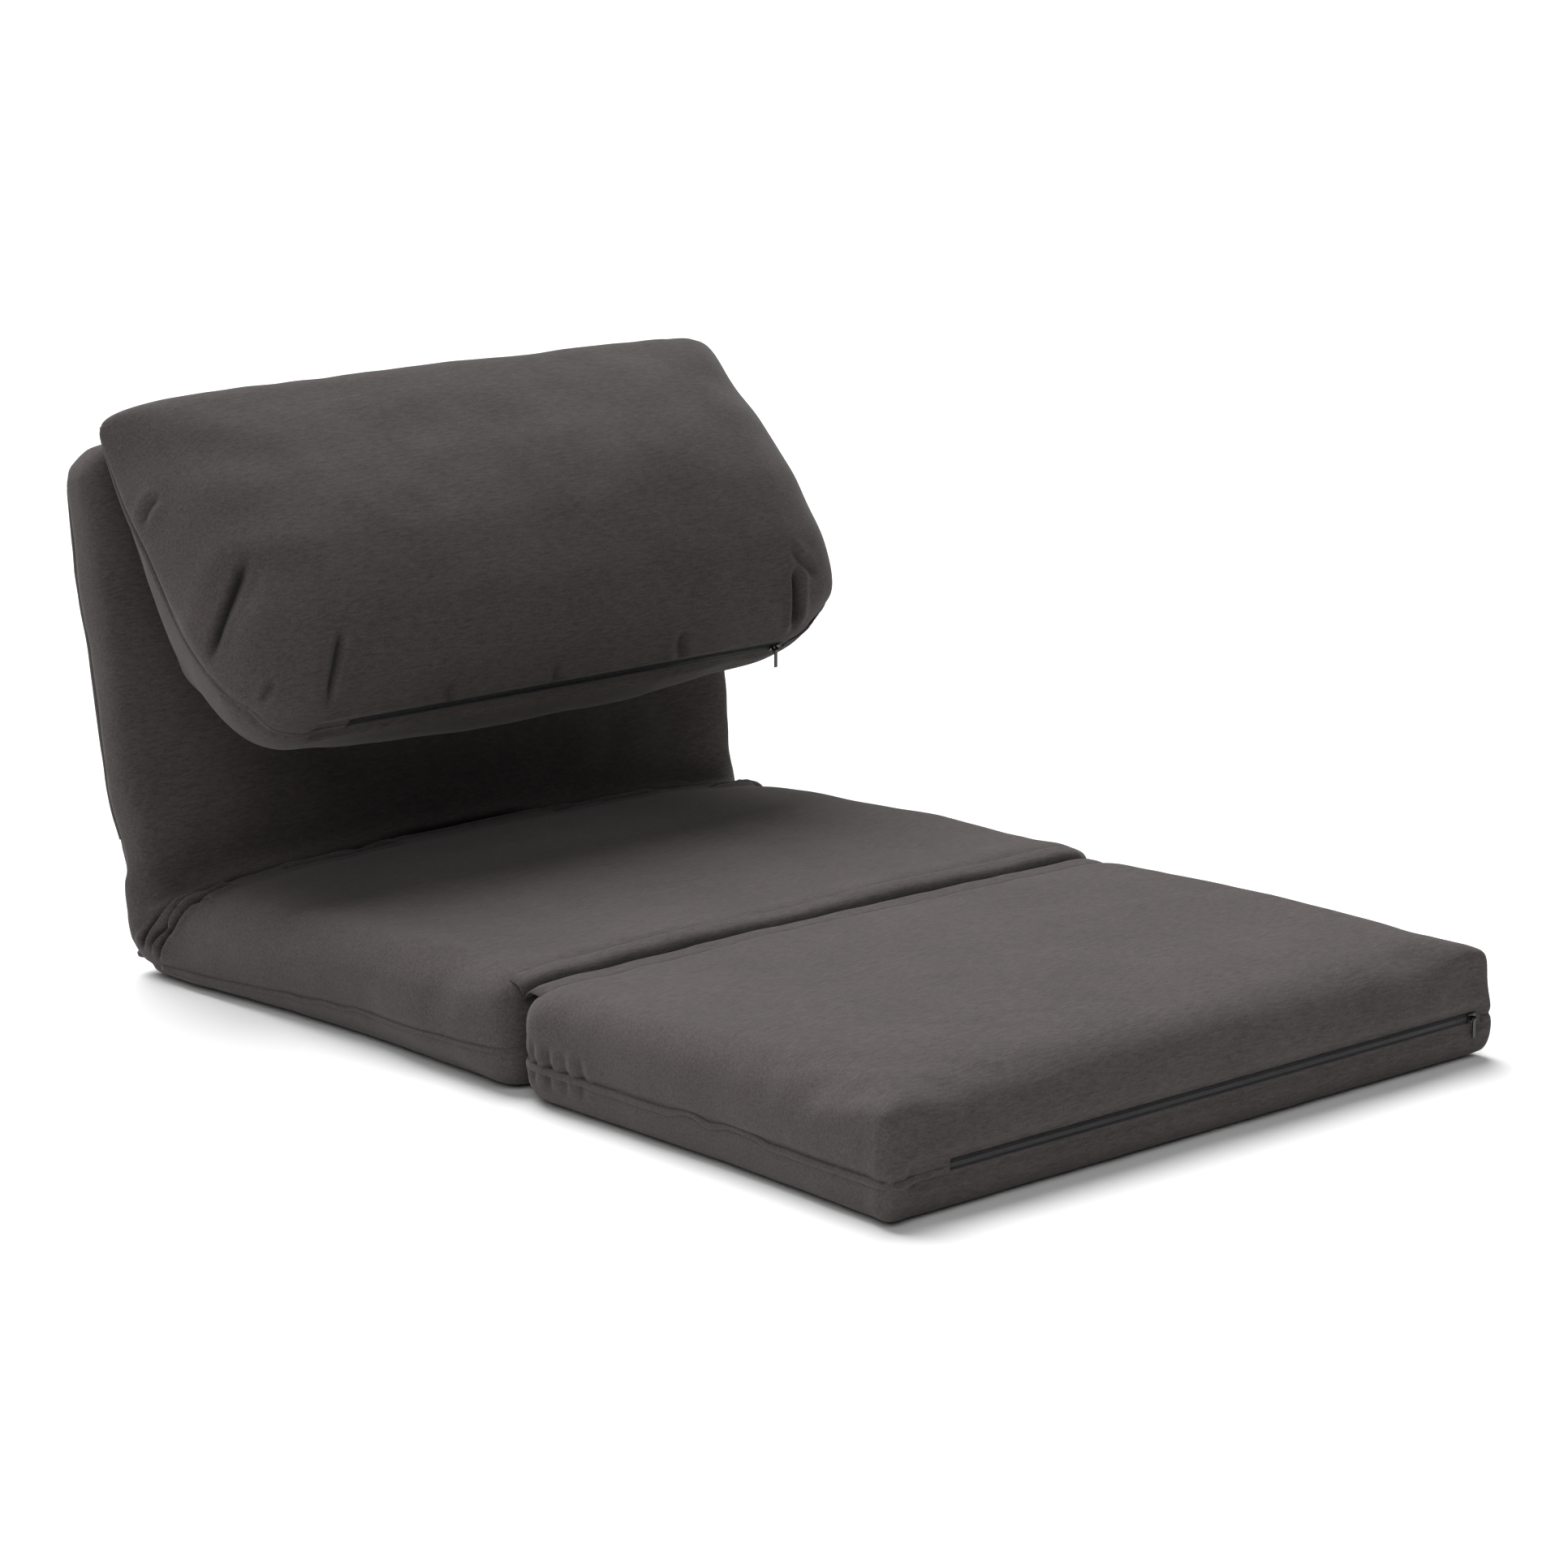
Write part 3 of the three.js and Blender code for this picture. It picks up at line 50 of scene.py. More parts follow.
weld = 0.02 * MM
puff_steps = 10
cloth_spare = -0.015

# Where the folds, hinges and seams lie, as in the solid parts
half_width = 375 * MM
recline_axis = Vector((0, 265 * MM, 46.5 * MM))
recline_lean = math.radians(11)
fold_line = Vector((0, -265 * MM, 108 * MM))
pillow_fold = Vector((0, 377.4 * MM, 519.8 * MM))
seat_front = -264 * MM
footrest_rear = -266 * MM
footrest_front = -757 * MM
footrest_seam = 41 * MM

# The camera and the photograph's frame
camera_place = Vector((-2.94189, -3.48841, 1.26016))
camera_target = Vector((-0.00881, -0.2232, 0.22086))
photo_side = 1932
photo_focal = 6000
sensor_side = 36
air_light = 0.08


# Geometry helpers


def back_point(x, y, z):
    """A point given in the backrest's own leaning frame."""
    across, along = math.cos(recline_lean), math.sin(recline_lean)
    return Vector((x, recline_axis.y + y * across + z * along, recline_axis.z - y * along + z * across))


def in_back_frame(points):
    """Points turned into the backrest's own leaning frame."""
    across, along = math.cos(recline_lean), math.sin(recline_lean)
    y, z = points[:, 1] - recline_axis.y, points[:, 2] - recline_axis.z
    return np.stack([points[:, 0], y * across - z * along, y * along + z * across], axis=1)


def from_back_frame(leaning):
    """Points of the backrest's own leaning frame, back in the chair's."""
    across, along = math.cos(recline_lean), math.sin(recline_lean)
    y, z = leaning[:, 1], leaning[:, 2]
    return np.stack(
        [leaning[:, 0], recline_axis.y + y * across + z * along, recline_axis.z - y * along + z * across],
        axis=1,
    )


def new_piece(name, mesh):
    piece = bpy.data.objects.new(name, mesh)
    bpy.context.scene.collection.objects.link(piece)
    return piece


def mesh_of(name, points, faces):
    mesh = bpy.data.meshes.new(name)
    mesh.from_pydata([tuple(p) for p in points], [], [tuple(f) for f in faces])
    mesh.update()
    return mesh


def places(mesh):
    flat = np.zeros(len(mesh.vertices) * 3, np.float32)
    mesh.vertices.foreach_get("co", flat)
    return flat.reshape(-1, 3).astype(float)


def set_places(mesh, points):
    mesh.vertices.foreach_set("co", points.astype(np.float32).ravel())
    mesh.update()


def outward(mesh):
    flat = np.zeros(len(mesh.vertices) * 3, np.float32)
    mesh.vertex_normals.foreach_get("vector", flat)
    return flat.reshape(-1, 3).astype(float)


def settle(piece):
    """The piece's modifiers made part of its mesh."""
    graph = bpy.context.evaluated_depsgraph_get()
    mesh = bpy.data.meshes.new_from_object(piece.evaluated_get(graph))
    piece.modifiers.clear()
    piece.data = mesh
    return piece


def shade_smooth(piece):
    piece.data.polygons.foreach_set("use_smooth", [True] * len(piece.data.polygons))
    piece.data.update()


def tree_of(mesh):
    return BVHTree.FromPolygons([v.co for v in mesh.vertices], [tuple(p.vertices) for p in mesh.polygons])


def photo_ray(across, down):
    """The line of sight through a point of the photograph."""
    ahead = (camera_target - camera_place).normalized()
    right = ahead.cross(Vector((0, 0, 1))).normalized()
    up = right.cross(ahead)
    middle = photo_side / 2
    return (ahead * photo_focal + right * (across - middle) - up * (down - middle)).normalized()


def cast(tree, marks):
    """The points of a surface that lie behind these marks of the photograph."""
    hits = [tree.ray_cast(camera_place, photo_ray(*mark))[0] for mark in marks]
    return [hit for hit in hits if hit is not None]


def onto(tree, points):
    """Each point's nearest place on a surface."""
    return [tree.find_nearest(Vector(p))[0] for p in points]


def eased(line, steps):
    """A smooth curve through the points of a line."""
    line = [Vector(p) for p in line]
    if len(line) < 3:
        return line
    out = []
    for i in range(len(line) - 1):
        before, start = line[max(i - 1, 0)], line[i]
        end, after = line[i + 1], line[min(i + 2, len(line) - 1)]
        for k in range(steps):
            t = k / steps
            out.append(
                0.5
                * (
                    2 * start
                    + (end - before) * t
                    + (2 * before - 5 * start + 4 * end - after) * t * t
                    + (3 * start - before - 3 * end + after) * t * t * t
                )
            )
    return out + [line[-1]]


def from_line(points, line):
    """How far each point is from a line, how far along it, and on which side."""
    line = np.array([tuple(p) for p in line])
    best = np.full(len(points), 1e9)
    place = np.zeros(len(points))
    run = 0
    for a, b in zip(line[:-1], line[1:]):
        step = b - a
        length = float(np.linalg.norm(step))
        if length < 1e-7:
            continue
        share = np.clip((points - a) @ step / length**2, 0, 1)
        away = np.linalg.norm(points - a - share[:, None] * step, axis=1)
        nearer = away < best
        best[nearer] = away[nearer]
        place[nearer] = run + share[nearer] * length
        run += length
    return best, place, run


def unevenness(points, size, seed):
    """Smooth noise of about this size at each point, from -1 to 1."""
    shift = Vector((seed * 3.7, seed * 1.9, seed * 5.3))
    return np.array([noise.noise(Vector(p) / size + shift) for p in points])


def wave_along(place, size, seed):
    """Smooth noise along a seam."""
    ground = np.linspace(0, max(place.max(), size), int(max(place.max(), size) / size * 12) + 2)
    values = np.array([noise.noise(Vector((g / size, seed * 7.3, 0.5))) for g in ground])
    return np.interp(place, ground, values)


def main_skin(piece):
    """Only the largest closed skin of a piece is kept."""
    body = bmesh.new()
    body.from_mesh(piece.data)
    body.verts.ensure_lookup_table()
    seen, skins = set(), []
    for start in body.verts:
        if start.index in seen:
            continue
        skin, queue = [], [start]
        seen.add(start.index)
        while queue:
            vert = queue.pop()
            skin.append(vert)
            for edge in vert.link_edges:
                other = edge.other_vert(vert)
                if other.index not in seen:
                    seen.add(other.index)
                    queue.append(other)
        skins.append(skin)
    skins.sort(key=len)
    for skin in skins[:-1]:
        bmesh.ops.delete(body, geom=skin, context="VERTS")
    bmesh.ops.recalc_face_normals(body, faces=body.faces)
    body.to_mesh(piece.data)
    body.free()


# Cushions


def stuffed_form(name, nodes, cell, smoothing, extra=()):
    """One closed skin round the solid parts of a cushion."""
    joined = bmesh.new()
    for node in nodes:
        joined.from_mesh(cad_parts[node].data)
    for mesh in extra:
        joined.from_mesh(mesh)
    bmesh.ops.remove_doubles(joined, verts=joined.verts, dist=weld)
    mesh = bpy.data.meshes.new(name)
    joined.to_mesh(mesh)
    joined.free()
    piece = new_piece(name, mesh)
    skin = piece.modifiers.new("Skin", "REMESH")
    skin.mode = "VOXEL"
    skin.voxel_size = cell
    settle(piece)
    main_skin(piece)
    soften(piece, smoothing)
    return piece


def soften(piece, rounds):
    """Rounds off a form's edges."""
    ease = piece.modifiers.new("Ease", "SMOOTH")
    ease.factor = 0.5
    ease.iterations = rounds
    settle(piece)


def puff(piece, held, cap, pressure, calm=6):
    """Fills a cushion by simulation; no point moves further than the cap."""
    before = places(piece.data)
    group = piece.vertex_groups.new(name="held")
    group.add([int(i) for i in np.flatnonzero(held)], 1.0, "REPLACE")
    cloth = piece.modifiers.new("Cloth", "CLOTH")
    cloth.settings.vertex_group_mass = "held"
    cloth.settings.use_pressure = True
    cloth.settings.uniform_pressure_force = pressure
    cloth.settings.effector_weights.gravity = 0
    cloth.settings.quality = 4
    cloth.settings.shrink_min = cloth_spare
    scene = bpy.context.scene
    for step in range(1, puff_steps + 1):
        scene.frame_set(step)
    settle(piece)
    scene.frame_set(1)
    move = places(piece.data) - before
    far = np.linalg.norm(move, axis=1)
    move *= np.minimum(1, cap / np.maximum(far, 1e-9))[:, None]
    set_places(piece.data, before + calmed(piece.data, move, calm))
    piece.vertex_groups.clear()


def calmed(mesh, move, rounds):
    """A movement shared out among neighbouring points, so that only its broad forms stay."""
    ends = np.zeros(len(mesh.edges) * 2, np.int32)
    mesh.edges.foreach_get("vertices", ends)
    left, right = ends[0::2], ends[1::2]
    count = np.bincount(ends, minlength=len(move))[:, None]
    for _ in range(rounds):
        total = np.stack(
            [
                np.bincount(left, move[right, k], len(move)) + np.bincount(right, move[left, k], len(move))
                for k in range(3)
            ],
            axis=1,
        )
        move = 0.5 * move + 0.5 * total / np.maximum(count, 1)
    return move


def subdivide(piece):
    finer = piece.modifiers.new("Finer", "SUBSURF")
    finer.levels = 1
    finer.render_levels = 1
    settle(piece)


def valley(points, line, depth, width, rise=0.35, fade=0.28):
    """How far a sewn or pressed fold sinks the cloth, with the cloth raised on both sides of it."""
    away, place, run = from_line(points, line)
    if run == 0:
        return np.zeros(len(points))
    ends = np.clip(np.minimum(place, run - place) / (fade * run), 0, 1)
    ends = ends * ends * (3 - 2 * ends)
    sink = -np.exp(-((away / width) ** 1.3))
    lift = rise * np.exp(-(((away - 2.1 * width) / (1.1 * width)) ** 2))
    return depth * ends * (sink + lift)


def seam_draw(points, line, depth, width, pucker, reach, step, seed):
    """How a seam draws the cloth in, and the small puckers that start at its stitches."""
    away, place, run = from_line(points, line)
    drawn = -depth * np.exp(-((away / width) ** 2))
    waves = wave_along(place, step, seed) + 0.6 * wave_along(place, step * 0.45, seed + 3)
    patches = np.clip(0.55 + 0.9 * wave_along(place, step * 6, seed + 9), 0.1, 1.3)
    fade = np.exp(-away / reach) * (1 - np.exp(-((away / (0.6 * width)) ** 2)))
    return drawn + pucker * waves * patches * fade






# Forms of the cushions


def foot_of_cover(side):
    """Where the cover of the back runs on down past the hinge to the floor, at one side."""
    body = bmesh.new()
    bmesh.ops.create_cube(body, size=1)
    bmesh.ops.bevel(
        body,
        geom=body.edges[:],
        offset=0.42,
        offset_type="OFFSET",
        segments=5,
        profile=0.5,
        affect="EDGES",
    )
    long, thick, high = 96 * MM, 42 * MM, 124 * MM
    for vert in body.verts:
        x = side * (half_width + 8 * MM - long / 2) + vert.co.x * long
        vert.co = back_point(x, 30 * MM + vert.co.y * thick, 24 * MM + vert.co.z * high)
        vert.co.z = max(vert.co.z, 0.5 * MM)
    mesh = bpy.data.meshes.new("foot_of_cover")
    bmesh.ops.recalc_face_normals(body, faces=body.faces)
    body.to_mesh(mesh)
    body.free()
    return mesh


def seat_and_back():
    """The pads of the seat and the backrest in their one cover, which turns up from the seat into the leaning back."""
    piece = stuffed_form(
        "seat_and_back_cover",
        [
            "seat_cover",
            "seat_base_panel",
            "seat_foam",
            "back_cover_front",
            "back_cover_rear",
            "back_foam",
        ],
        7 * MM,
        5,
        [foot_of_cover(-1), foot_of_cover(1)],
    )
    points = places(piece.data)
    leaning = in_back_frame(points)
    high = np.clip((leaning[:, 2] - 20 * MM) / (120 * MM), 0, 1)
    side = np.clip((abs(leaning[:, 0]) - 280 * MM) / (95 * MM), 0, 1)
    points[:, 0] += np.sign(points[:, 0]) * 12 * MM * high * side
    rearward = np.clip((points[:, 1] + 60 * MM) / (270 * MM), 0, 1)
    low = np.clip(1 - points[:, 2] / (110 * MM), 0, 1)
    points[:, 0] += np.sign(points[:, 0]) * 8 * MM * rearward * low * side
    set_places(piece.data, points)
    heel = np.hypot(leaning[:, 1], leaning[:, 2]) < 62 * MM
    front = points[:, 1] < seat_front + 14 * MM
    under_pillow = (leaning[:, 1] < 14 * MM) & (leaning[:, 2] > 150 * MM)
    floor = points[:, 2] < 4 * MM
    puff(piece, floor | heel | front | under_pillow, 6 * MM, 3, 12)
    subdivide(piece)
    finer_corners(piece)
    return piece


def finer_corners(piece):
    """Smaller faces at the two rear corners of the seat, where the pleats are."""
    body = bmesh.new()
    body.from_mesh(piece.data)
    near = [
        abs(v.co.x) > 255 * MM and 215 * MM < v.co.y < 330 * MM and 2 * MM < v.co.z < 135 * MM
        for v in body.verts
    ]
    edges = [e for e in body.edges if near[e.verts[0].index] and near[e.verts[1].index]]
    bmesh.ops.subdivide_edges(body, edges=edges, cuts=1, smooth=0.6, use_grid_fill=True)
    body.to_mesh(piece.data)
    body.free()


def crowned_top(points):
    """The top of the footrest, which falls in a wide curve towards its front and sides but not its corners."""
    ahead = np.clip(1 - (points[:, 1] - footrest_front) / (95 * MM), 0, 1)
    beside = np.clip(1 - (half_width - abs(points[:, 0])) / (80 * MM), 0, 1)
    high = np.clip(points[:, 2] / (112 * MM), 0, 1) ** 3
    fall = 9 * MM * ahead**2 * (1 - beside) + 6 * MM * beside**2 * (1 - ahead)
    points[:, 2] += (5 * MM * (ahead * beside) ** 2 - fall) * high
    return points


def boxed_corners(points):
    """The footrest's two upright front corners, drawn square by the seams that run down them."""
    reach = 34 * MM
    across = np.clip((abs(points[:, 0]) - (half_width - reach)) / reach, 0, 1)
    ahead = np.clip((footrest_front + reach - points[:, 1]) / reach, 0, 1)
    round_size = np.hypot(across, ahead)
    square_size = np.maximum((across**5 + ahead**5) ** 0.2, 1e-6)
    stretch = np.where(np.minimum(across, ahead) > 0, round_size / square_size - 1, 0)
    points[:, 0] += np.sign(points[:, 0]) * across * stretch * reach
    points[:, 1] -= ahead * stretch * reach
    return points


def footrest_cushion():
    """The foam block of the footrest, with boxed front corners."""
    piece = stuffed_form(
        "footrest_cushion", ["footrest_cover_top", "footrest_cover_base", "footrest_foam"], 6 * MM, 24
    )
    points = places(piece.data)
    rear = points[:, 1] > footrest_rear - 14 * MM
    seam = abs(points[:, 2] - footrest_seam) < 5 * MM
    puff(piece, (points[:, 2] < 4 * MM) | rear | seam, 6 * MM, 3, 12)
    subdivide(piece)
    set_places(piece.data, boxed_corners(crowned_top(places(piece.data))))
    return piece


# The seam down each side of the pillow, as its height on the back and its reach in front of it
side_seam_rise = np.array([140, 214, 238, 293, 365, 429, 488, 520]) * MM
side_seam_reach = np.array([170, 186, 150, 103, 64, 26, 4, 0]) * MM


def drawn_to_side_seams(points):
    """The pillow's ends drawn together to its side seams, and the corners of its underside lifted."""
    leaning = in_back_frame(points)
    seam = -np.interp(leaning[:, 2], side_seam_rise, side_seam_reach)
    right = leaning[:, 0] > 0
    depth = np.clip((half_width - abs(leaning[:, 0])) / np.where(right, 70 * MM, 100 * MM), 0, 1)
    share = np.sqrt(1 - (1 - depth) ** 2)
    thinnest = np.where(right, 0.3, 0.15)
    leaning[:, 1] = seam + (leaning[:, 1] - seam) * (thinnest + (1 - thinnest) * share)
    full = np.clip((leaning[:, 2] - 190 * MM) / (60 * MM), 0, 1) * np.clip((545 * MM - leaning[:, 2]) / (60 * MM), 0, 1)
    leaning[:, 0] += np.where(right, 20 * MM, 0) * full * np.clip((leaning[:, 0] - 230 * MM) / (145 * MM), 0, 1)
    end = np.clip((abs(leaning[:, 0]) - 130 * MM) / (245 * MM), 0, 1) ** 1.5
    low = np.clip((330 * MM - leaning[:, 2]) / (150 * MM), 0, 1)
    close = 1 - np.clip(-leaning[:, 1] / (165 * MM), 0, 1)
    leaning[:, 2] += 100 * MM * end * low * close
    return from_back_frame(leaning)


def head_pillow():
    """The wedge-shaped pillow that hangs over the front of the back."""
    piece = stuffed_form(
        "head_pillow",
        [
            "pillow_cover_top",
            "pillow_cover_under",
            "pillow_filling",
            "pillow_zip_upper_tape",
            "pillow_zip_lower_tape",
        ],
        5 * MM,
        6,
    )
    set_places(piece.data, drawn_to_side_seams(places(piece.data)))
    soften(piece, 40)
    points = places(piece.data)
    leaning = in_back_frame(points)
    against = leaning[:, 1] > 1 * MM
    puff(piece, against | (leaning[:, 2] > 470 * MM), 11 * MM, 4, 110)
    subdivide(piece)
    return piece


# Seam lines


def seat_seam_rise(y):
    """The height of the seat's seam at a depth y."""
    share = (y + 270 * MM) / (586 * MM)
    return (44 - 30 * share) * MM


def side_line(heights, x, start, end, count=60):
    """A seam along one side of a cushion."""
    return [Vector((x, start + (end - start) * k / count, heights(start + (end - start) * k / count)))
            for k in range(count + 1)]


def ring(half, front, rear, radius_front, radius_rear, heights, count=24):
    """A seam loop round a rounded rectangle seen from above, from the rear left corner round the front."""
    line = []
    corners = [
        (-half + radius_rear, rear - radius_rear, radius_rear, 90),
        (-half + radius_front, front + radius_front, radius_front, 180),
        (half - radius_front, front + radius_front, radius_front, 270),
        (half - radius_rear, rear - radius_rear, radius_rear, 360),
    ]
    for x, y, radius, turn in corners:
        for k in range(9):
            angle = math.radians(turn + 90 * k / 8)
            line.append(Vector((x + radius * math.cos(angle), y + radius * math.sin(angle), 0)))
    dense = []
    for a, b in zip(line, line[1:] + line[:1]):
        parts = max(1, round((b - a).length / (8 * MM)))
        dense += [a.lerp(b, k / parts) for k in range(parts)]
    for p in dense:
        p.z = heights(p.y)
    return dense + [dense[0]]

def back_seam_line():
    """The seam round the backrest, 12 mm in front of its rear face, from foot to foot."""
    side, top, radius = half_width - 1 * MM, 478 * MM, 58 * MM
    line = [(-side, 22 * MM)]
    line += [(-side, (22 + 398 * k / 40) * MM) for k in range(1, 41)]
    for turn in range(180, 89, -9):
        angle = math.radians(turn)
        line.append((-side + radius + radius * math.cos(angle), top - radius + radius * math.sin(angle)))
    line += [(x * MM, top) for x in range(-300, 301, 20)]
    for turn in range(90, -1, -9):
        angle = math.radians(turn)
        line.append((side - radius + radius * math.cos(angle), top - radius + radius * math.sin(angle)))
    line += [(side, (420 - 398 * k / 40) * MM) for k in range(1, 41)]
    return [back_point(x, (46 - 12) * MM + z * math.tan(math.radians(1)), z) for x, z in line]


def pillow_seam_line():
    """The seam of the pillow: down its left side, along the zip and up its right side."""
    side = half_width - 1 * MM
    spine = [(-reach, rise) for reach, rise in zip(side_seam_reach[6:1:-1], side_seam_rise[6:1:-1])]
    left = [(-side, y, z) for y, z in spine]
    right = [(side, y, z) for y, z in reversed(spine)]
    base = [(x * MM, -177 * MM, 174 * MM) for x in range(-300, 301, 20)]
    corner_left = [(-365 * MM, -180 * MM, 205 * MM), (-340 * MM, -178 * MM, 180 * MM)]
    corner_right = [(340 * MM, -178 * MM, 180 * MM), (365 * MM, -180 * MM, 205 * MM)]
    return eased([back_point(*p) for p in left + corner_left + base + corner_right + right], 4)


# Sewn details


lip_section = ((0, -0.5), (0.08, 0.45), (0.35, 0.95), (0.72, 1.0), (0.95, 0.72), (1.0, 0.2), (0.9, -0.4))
tape_section = ((0.07, -0.4), (0.07, 0.75), (0.2, 1), (0.85, 1), (1, 0.7), (1, -0.4))


def laid_strip(name, line, tree, lay, section, width, thick, ripple, seed, steady=1):
    """A narrow strip of cloth sewn along a line of a surface and lying to one side of it."""
    points, faces = [], []
    run = 0
    for i, place in enumerate(line):
        ahead, behind = line[min(i + 1, len(line) - 1)], line[max(i - 1, 0)]
        run += (place - line[i - 1]).length if i else 0
        along = (ahead - behind).normalized()
        spot, normal, _, _ = tree.find_nearest(place)
        across = normal.cross(along).normalized()
        if across.dot(lay) < 0:
            across = -across
        swell = 1 + ripple * 0.6 * noise.noise(Vector((run / (18 * MM), seed, 0)))
        heave = 1 + ripple * noise.noise(Vector((run / (11 * MM), seed + 4, 0)))
        for out, up in section:
            near, lift, _, _ = tree.find_nearest(spot + across * (width * out * swell))
            points.append(near + lift * (thick * up * heave))
    rows = len(section)
    points = steadied(points, rows, steady)
    for i in range(len(line) - 1):
        for k in range(rows):
            a, b = i * rows + k, i * rows + (k + 1) % rows
            faces.append((a, b, b + rows, a + rows))
    faces.append(tuple(range(rows)))
    faces.append(tuple((len(line) - 1) * rows + k for k in reversed(range(rows))))
    return closed_piece(name, points, faces)


def steadied(points, rows, rounds):
    """A strip's points, evened out along its length."""
    grid = np.array([tuple(p) for p in points]).reshape(-1, rows, 3)
    for _ in range(rounds):
        grid[1:-1] = 0.5 * grid[1:-1] + 0.25 * (grid[:-2] + grid[2:])
    return [Vector(p) for p in grid.reshape(-1, 3)]


def closed_piece(name, points, faces):
    mesh = mesh_of(name, points, faces)
    body = bmesh.new()
    body.from_mesh(mesh)
    bmesh.ops.recalc_face_normals(body, faces=body.faces)
    body.to_mesh(mesh)
    body.free()
    piece = new_piece(name, mesh)
    shade_smooth(piece)
    return piece


def cloth_web(name, rows, thick):
    """A web of cloth through rows of points, with its own thickness."""
    count, wide = len(rows), len(rows[0])
    points = [p for row in rows for p in row]
    points += [p - Vector((0, 0, thick)) for row in rows for p in row]
    under = count * wide
    faces = []
    for i in range(count - 1):
        for k in range(wide - 1):
            a = i * wide + k
            faces.append((a, a + 1, a + wide + 1, a + wide))
            faces.append((under + a, under + a + wide, under + a + wide + 1, under + a + 1))
    for i in range(count - 1):
        for k in (0, wide - 1):
            a = i * wide + k
            faces.append((a, a + wide, under + a + wide, under + a))
    for k in range(wide - 1):
        for a in (k, (count - 1) * wide + k):
            faces.append((a, a + 1, under + a + 1, under + a))
    return closed_piece(name, points, faces)


def coil_nodes():
    """The nodes that set a zip's coil along a line: one bar for each turn of the coil."""
    tree = bpy.data.node_groups.new("zip_coil", "GeometryNodeTree")
    nodes, links, sockets = tree.nodes, tree.links, {}
    tree.interface.new_socket("Coil", in_out="OUTPUT", socket_type="NodeSocketGeometry")
    for label, kind in (
        ("Line", "NodeSocketGeometry"),
        ("Pitch", "NodeSocketFloat"),
        ("Bar Radius", "NodeSocketFloat"),
        ("Bar Length", "NodeSocketFloat"),
        ("Across", "NodeSocketVector"),
        ("Finish", "NodeSocketMaterial"),
    ):
        sockets[label] = tree.interface.new_socket(label, in_out="INPUT", socket_type=kind).identifier
    start = nodes.new("NodeGroupInput")
    end = nodes.new("NodeGroupOutput")
    curve = nodes.new("GeometryNodeMeshToCurve")
    spots = nodes.new("GeometryNodeCurveToPoints")
    spots.mode = "LENGTH"
    bar = nodes.new("GeometryNodeMeshCylinder")
    bar.inputs["Vertices"].default_value = 7
    turn = nodes.new("FunctionNodeAlignRotationToVector")
    turn.axis = "Z"
    copies = nodes.new("GeometryNodeInstanceOnPoints")
    real = nodes.new("GeometryNodeRealizeInstances")
    coat = nodes.new("GeometryNodeSetMaterial")
    links.new(start.outputs["Line"], curve.inputs["Mesh"])
    links.new(curve.outputs["Curve"], spots.inputs["Curve"])
    links.new(start.outputs["Pitch"], spots.inputs["Length"])
    links.new(start.outputs["Bar Radius"], bar.inputs["Radius"])
    links.new(start.outputs["Bar Length"], bar.inputs["Depth"])
    links.new(start.outputs["Across"], turn.inputs["Vector"])
    links.new(spots.outputs["Points"], copies.inputs["Points"])
    links.new(bar.outputs["Mesh"], copies.inputs["Instance"])
    links.new(turn.outputs["Rotation"], copies.inputs["Rotation"])
    links.new(copies.outputs["Instances"], real.inputs["Geometry"])
    links.new(real.outputs["Geometry"], coat.inputs["Geometry"])
    links.new(start.outputs["Finish"], coat.inputs["Material"])
    links.new(coat.outputs["Geometry"], end.inputs["Coil"])
    return tree, sockets


def zip_coil(name, line, tree, across, finish):
    """The coil of a closed zip, lying on the cloth along a line."""
    points = []
    for place in line:
        near, lift, _, _ = tree.find_nearest(place)
        points.append(near + lift * 0.8 * MM)
    points = [tuple(p) for p in steadied(points, 1, 30)]
    mesh = bpy.data.meshes.new(name)
    mesh.from_pydata(points, [(i, i + 1) for i in range(len(points) - 1)], [])
    piece = new_piece(name, mesh)
    coil, sockets = coil_nodes()
    turns = piece.modifiers.new("Coil", "NODES")
    turns.node_group = coil
    turns[sockets["Pitch"]] = 1.5 * MM
    turns[sockets["Bar Radius"]] = 0.5 * MM
    turns[sockets["Bar Length"]] = 3.6 * MM
    turns[sockets["Across"]] = tuple(across)
    turns[sockets["Finish"]] = finish
    settle(piece)
    return piece


# Folds, marked on the photograph as (across, down)
crease_marks = [
    (165, 1156), (176, 1141), (191, 1128), (209, 1114), (228, 1103), (250, 1096), (270, 1089), (293, 1080),
    (322, 1072), (440, 1042), (551, 1018), (640, 1000), (760, 984), (905, 961),
]
corner_pleats = (
    ([(292, 1088), (263, 1101), (245, 1109), (222, 1130), (204, 1154), (197, 1169), (194, 1184), (194, 1203)], 11, 3),
    ([(250, 1101), (226, 1114), (217, 1123), (204, 1141), (193, 1154), (185, 1171), (182, 1186)], 10, 2.8),
    ([(232, 1104), (205, 1122), (190, 1137), (180, 1152), (174, 1168)], 8, 2.8),
    ([(262, 1106), (238, 1117), (222, 1134), (210, 1152)], 6, 2.6),
    ([(342, 1071), (389, 1062), (440, 1050), (500, 1036)], 6, 4.5),
)
long_fold = [(309, 677), (297, 706), (285, 737), (268, 778), (255, 825)]
short_fold = [(425, 768), (418, 800), (410, 840), (403, 874)]
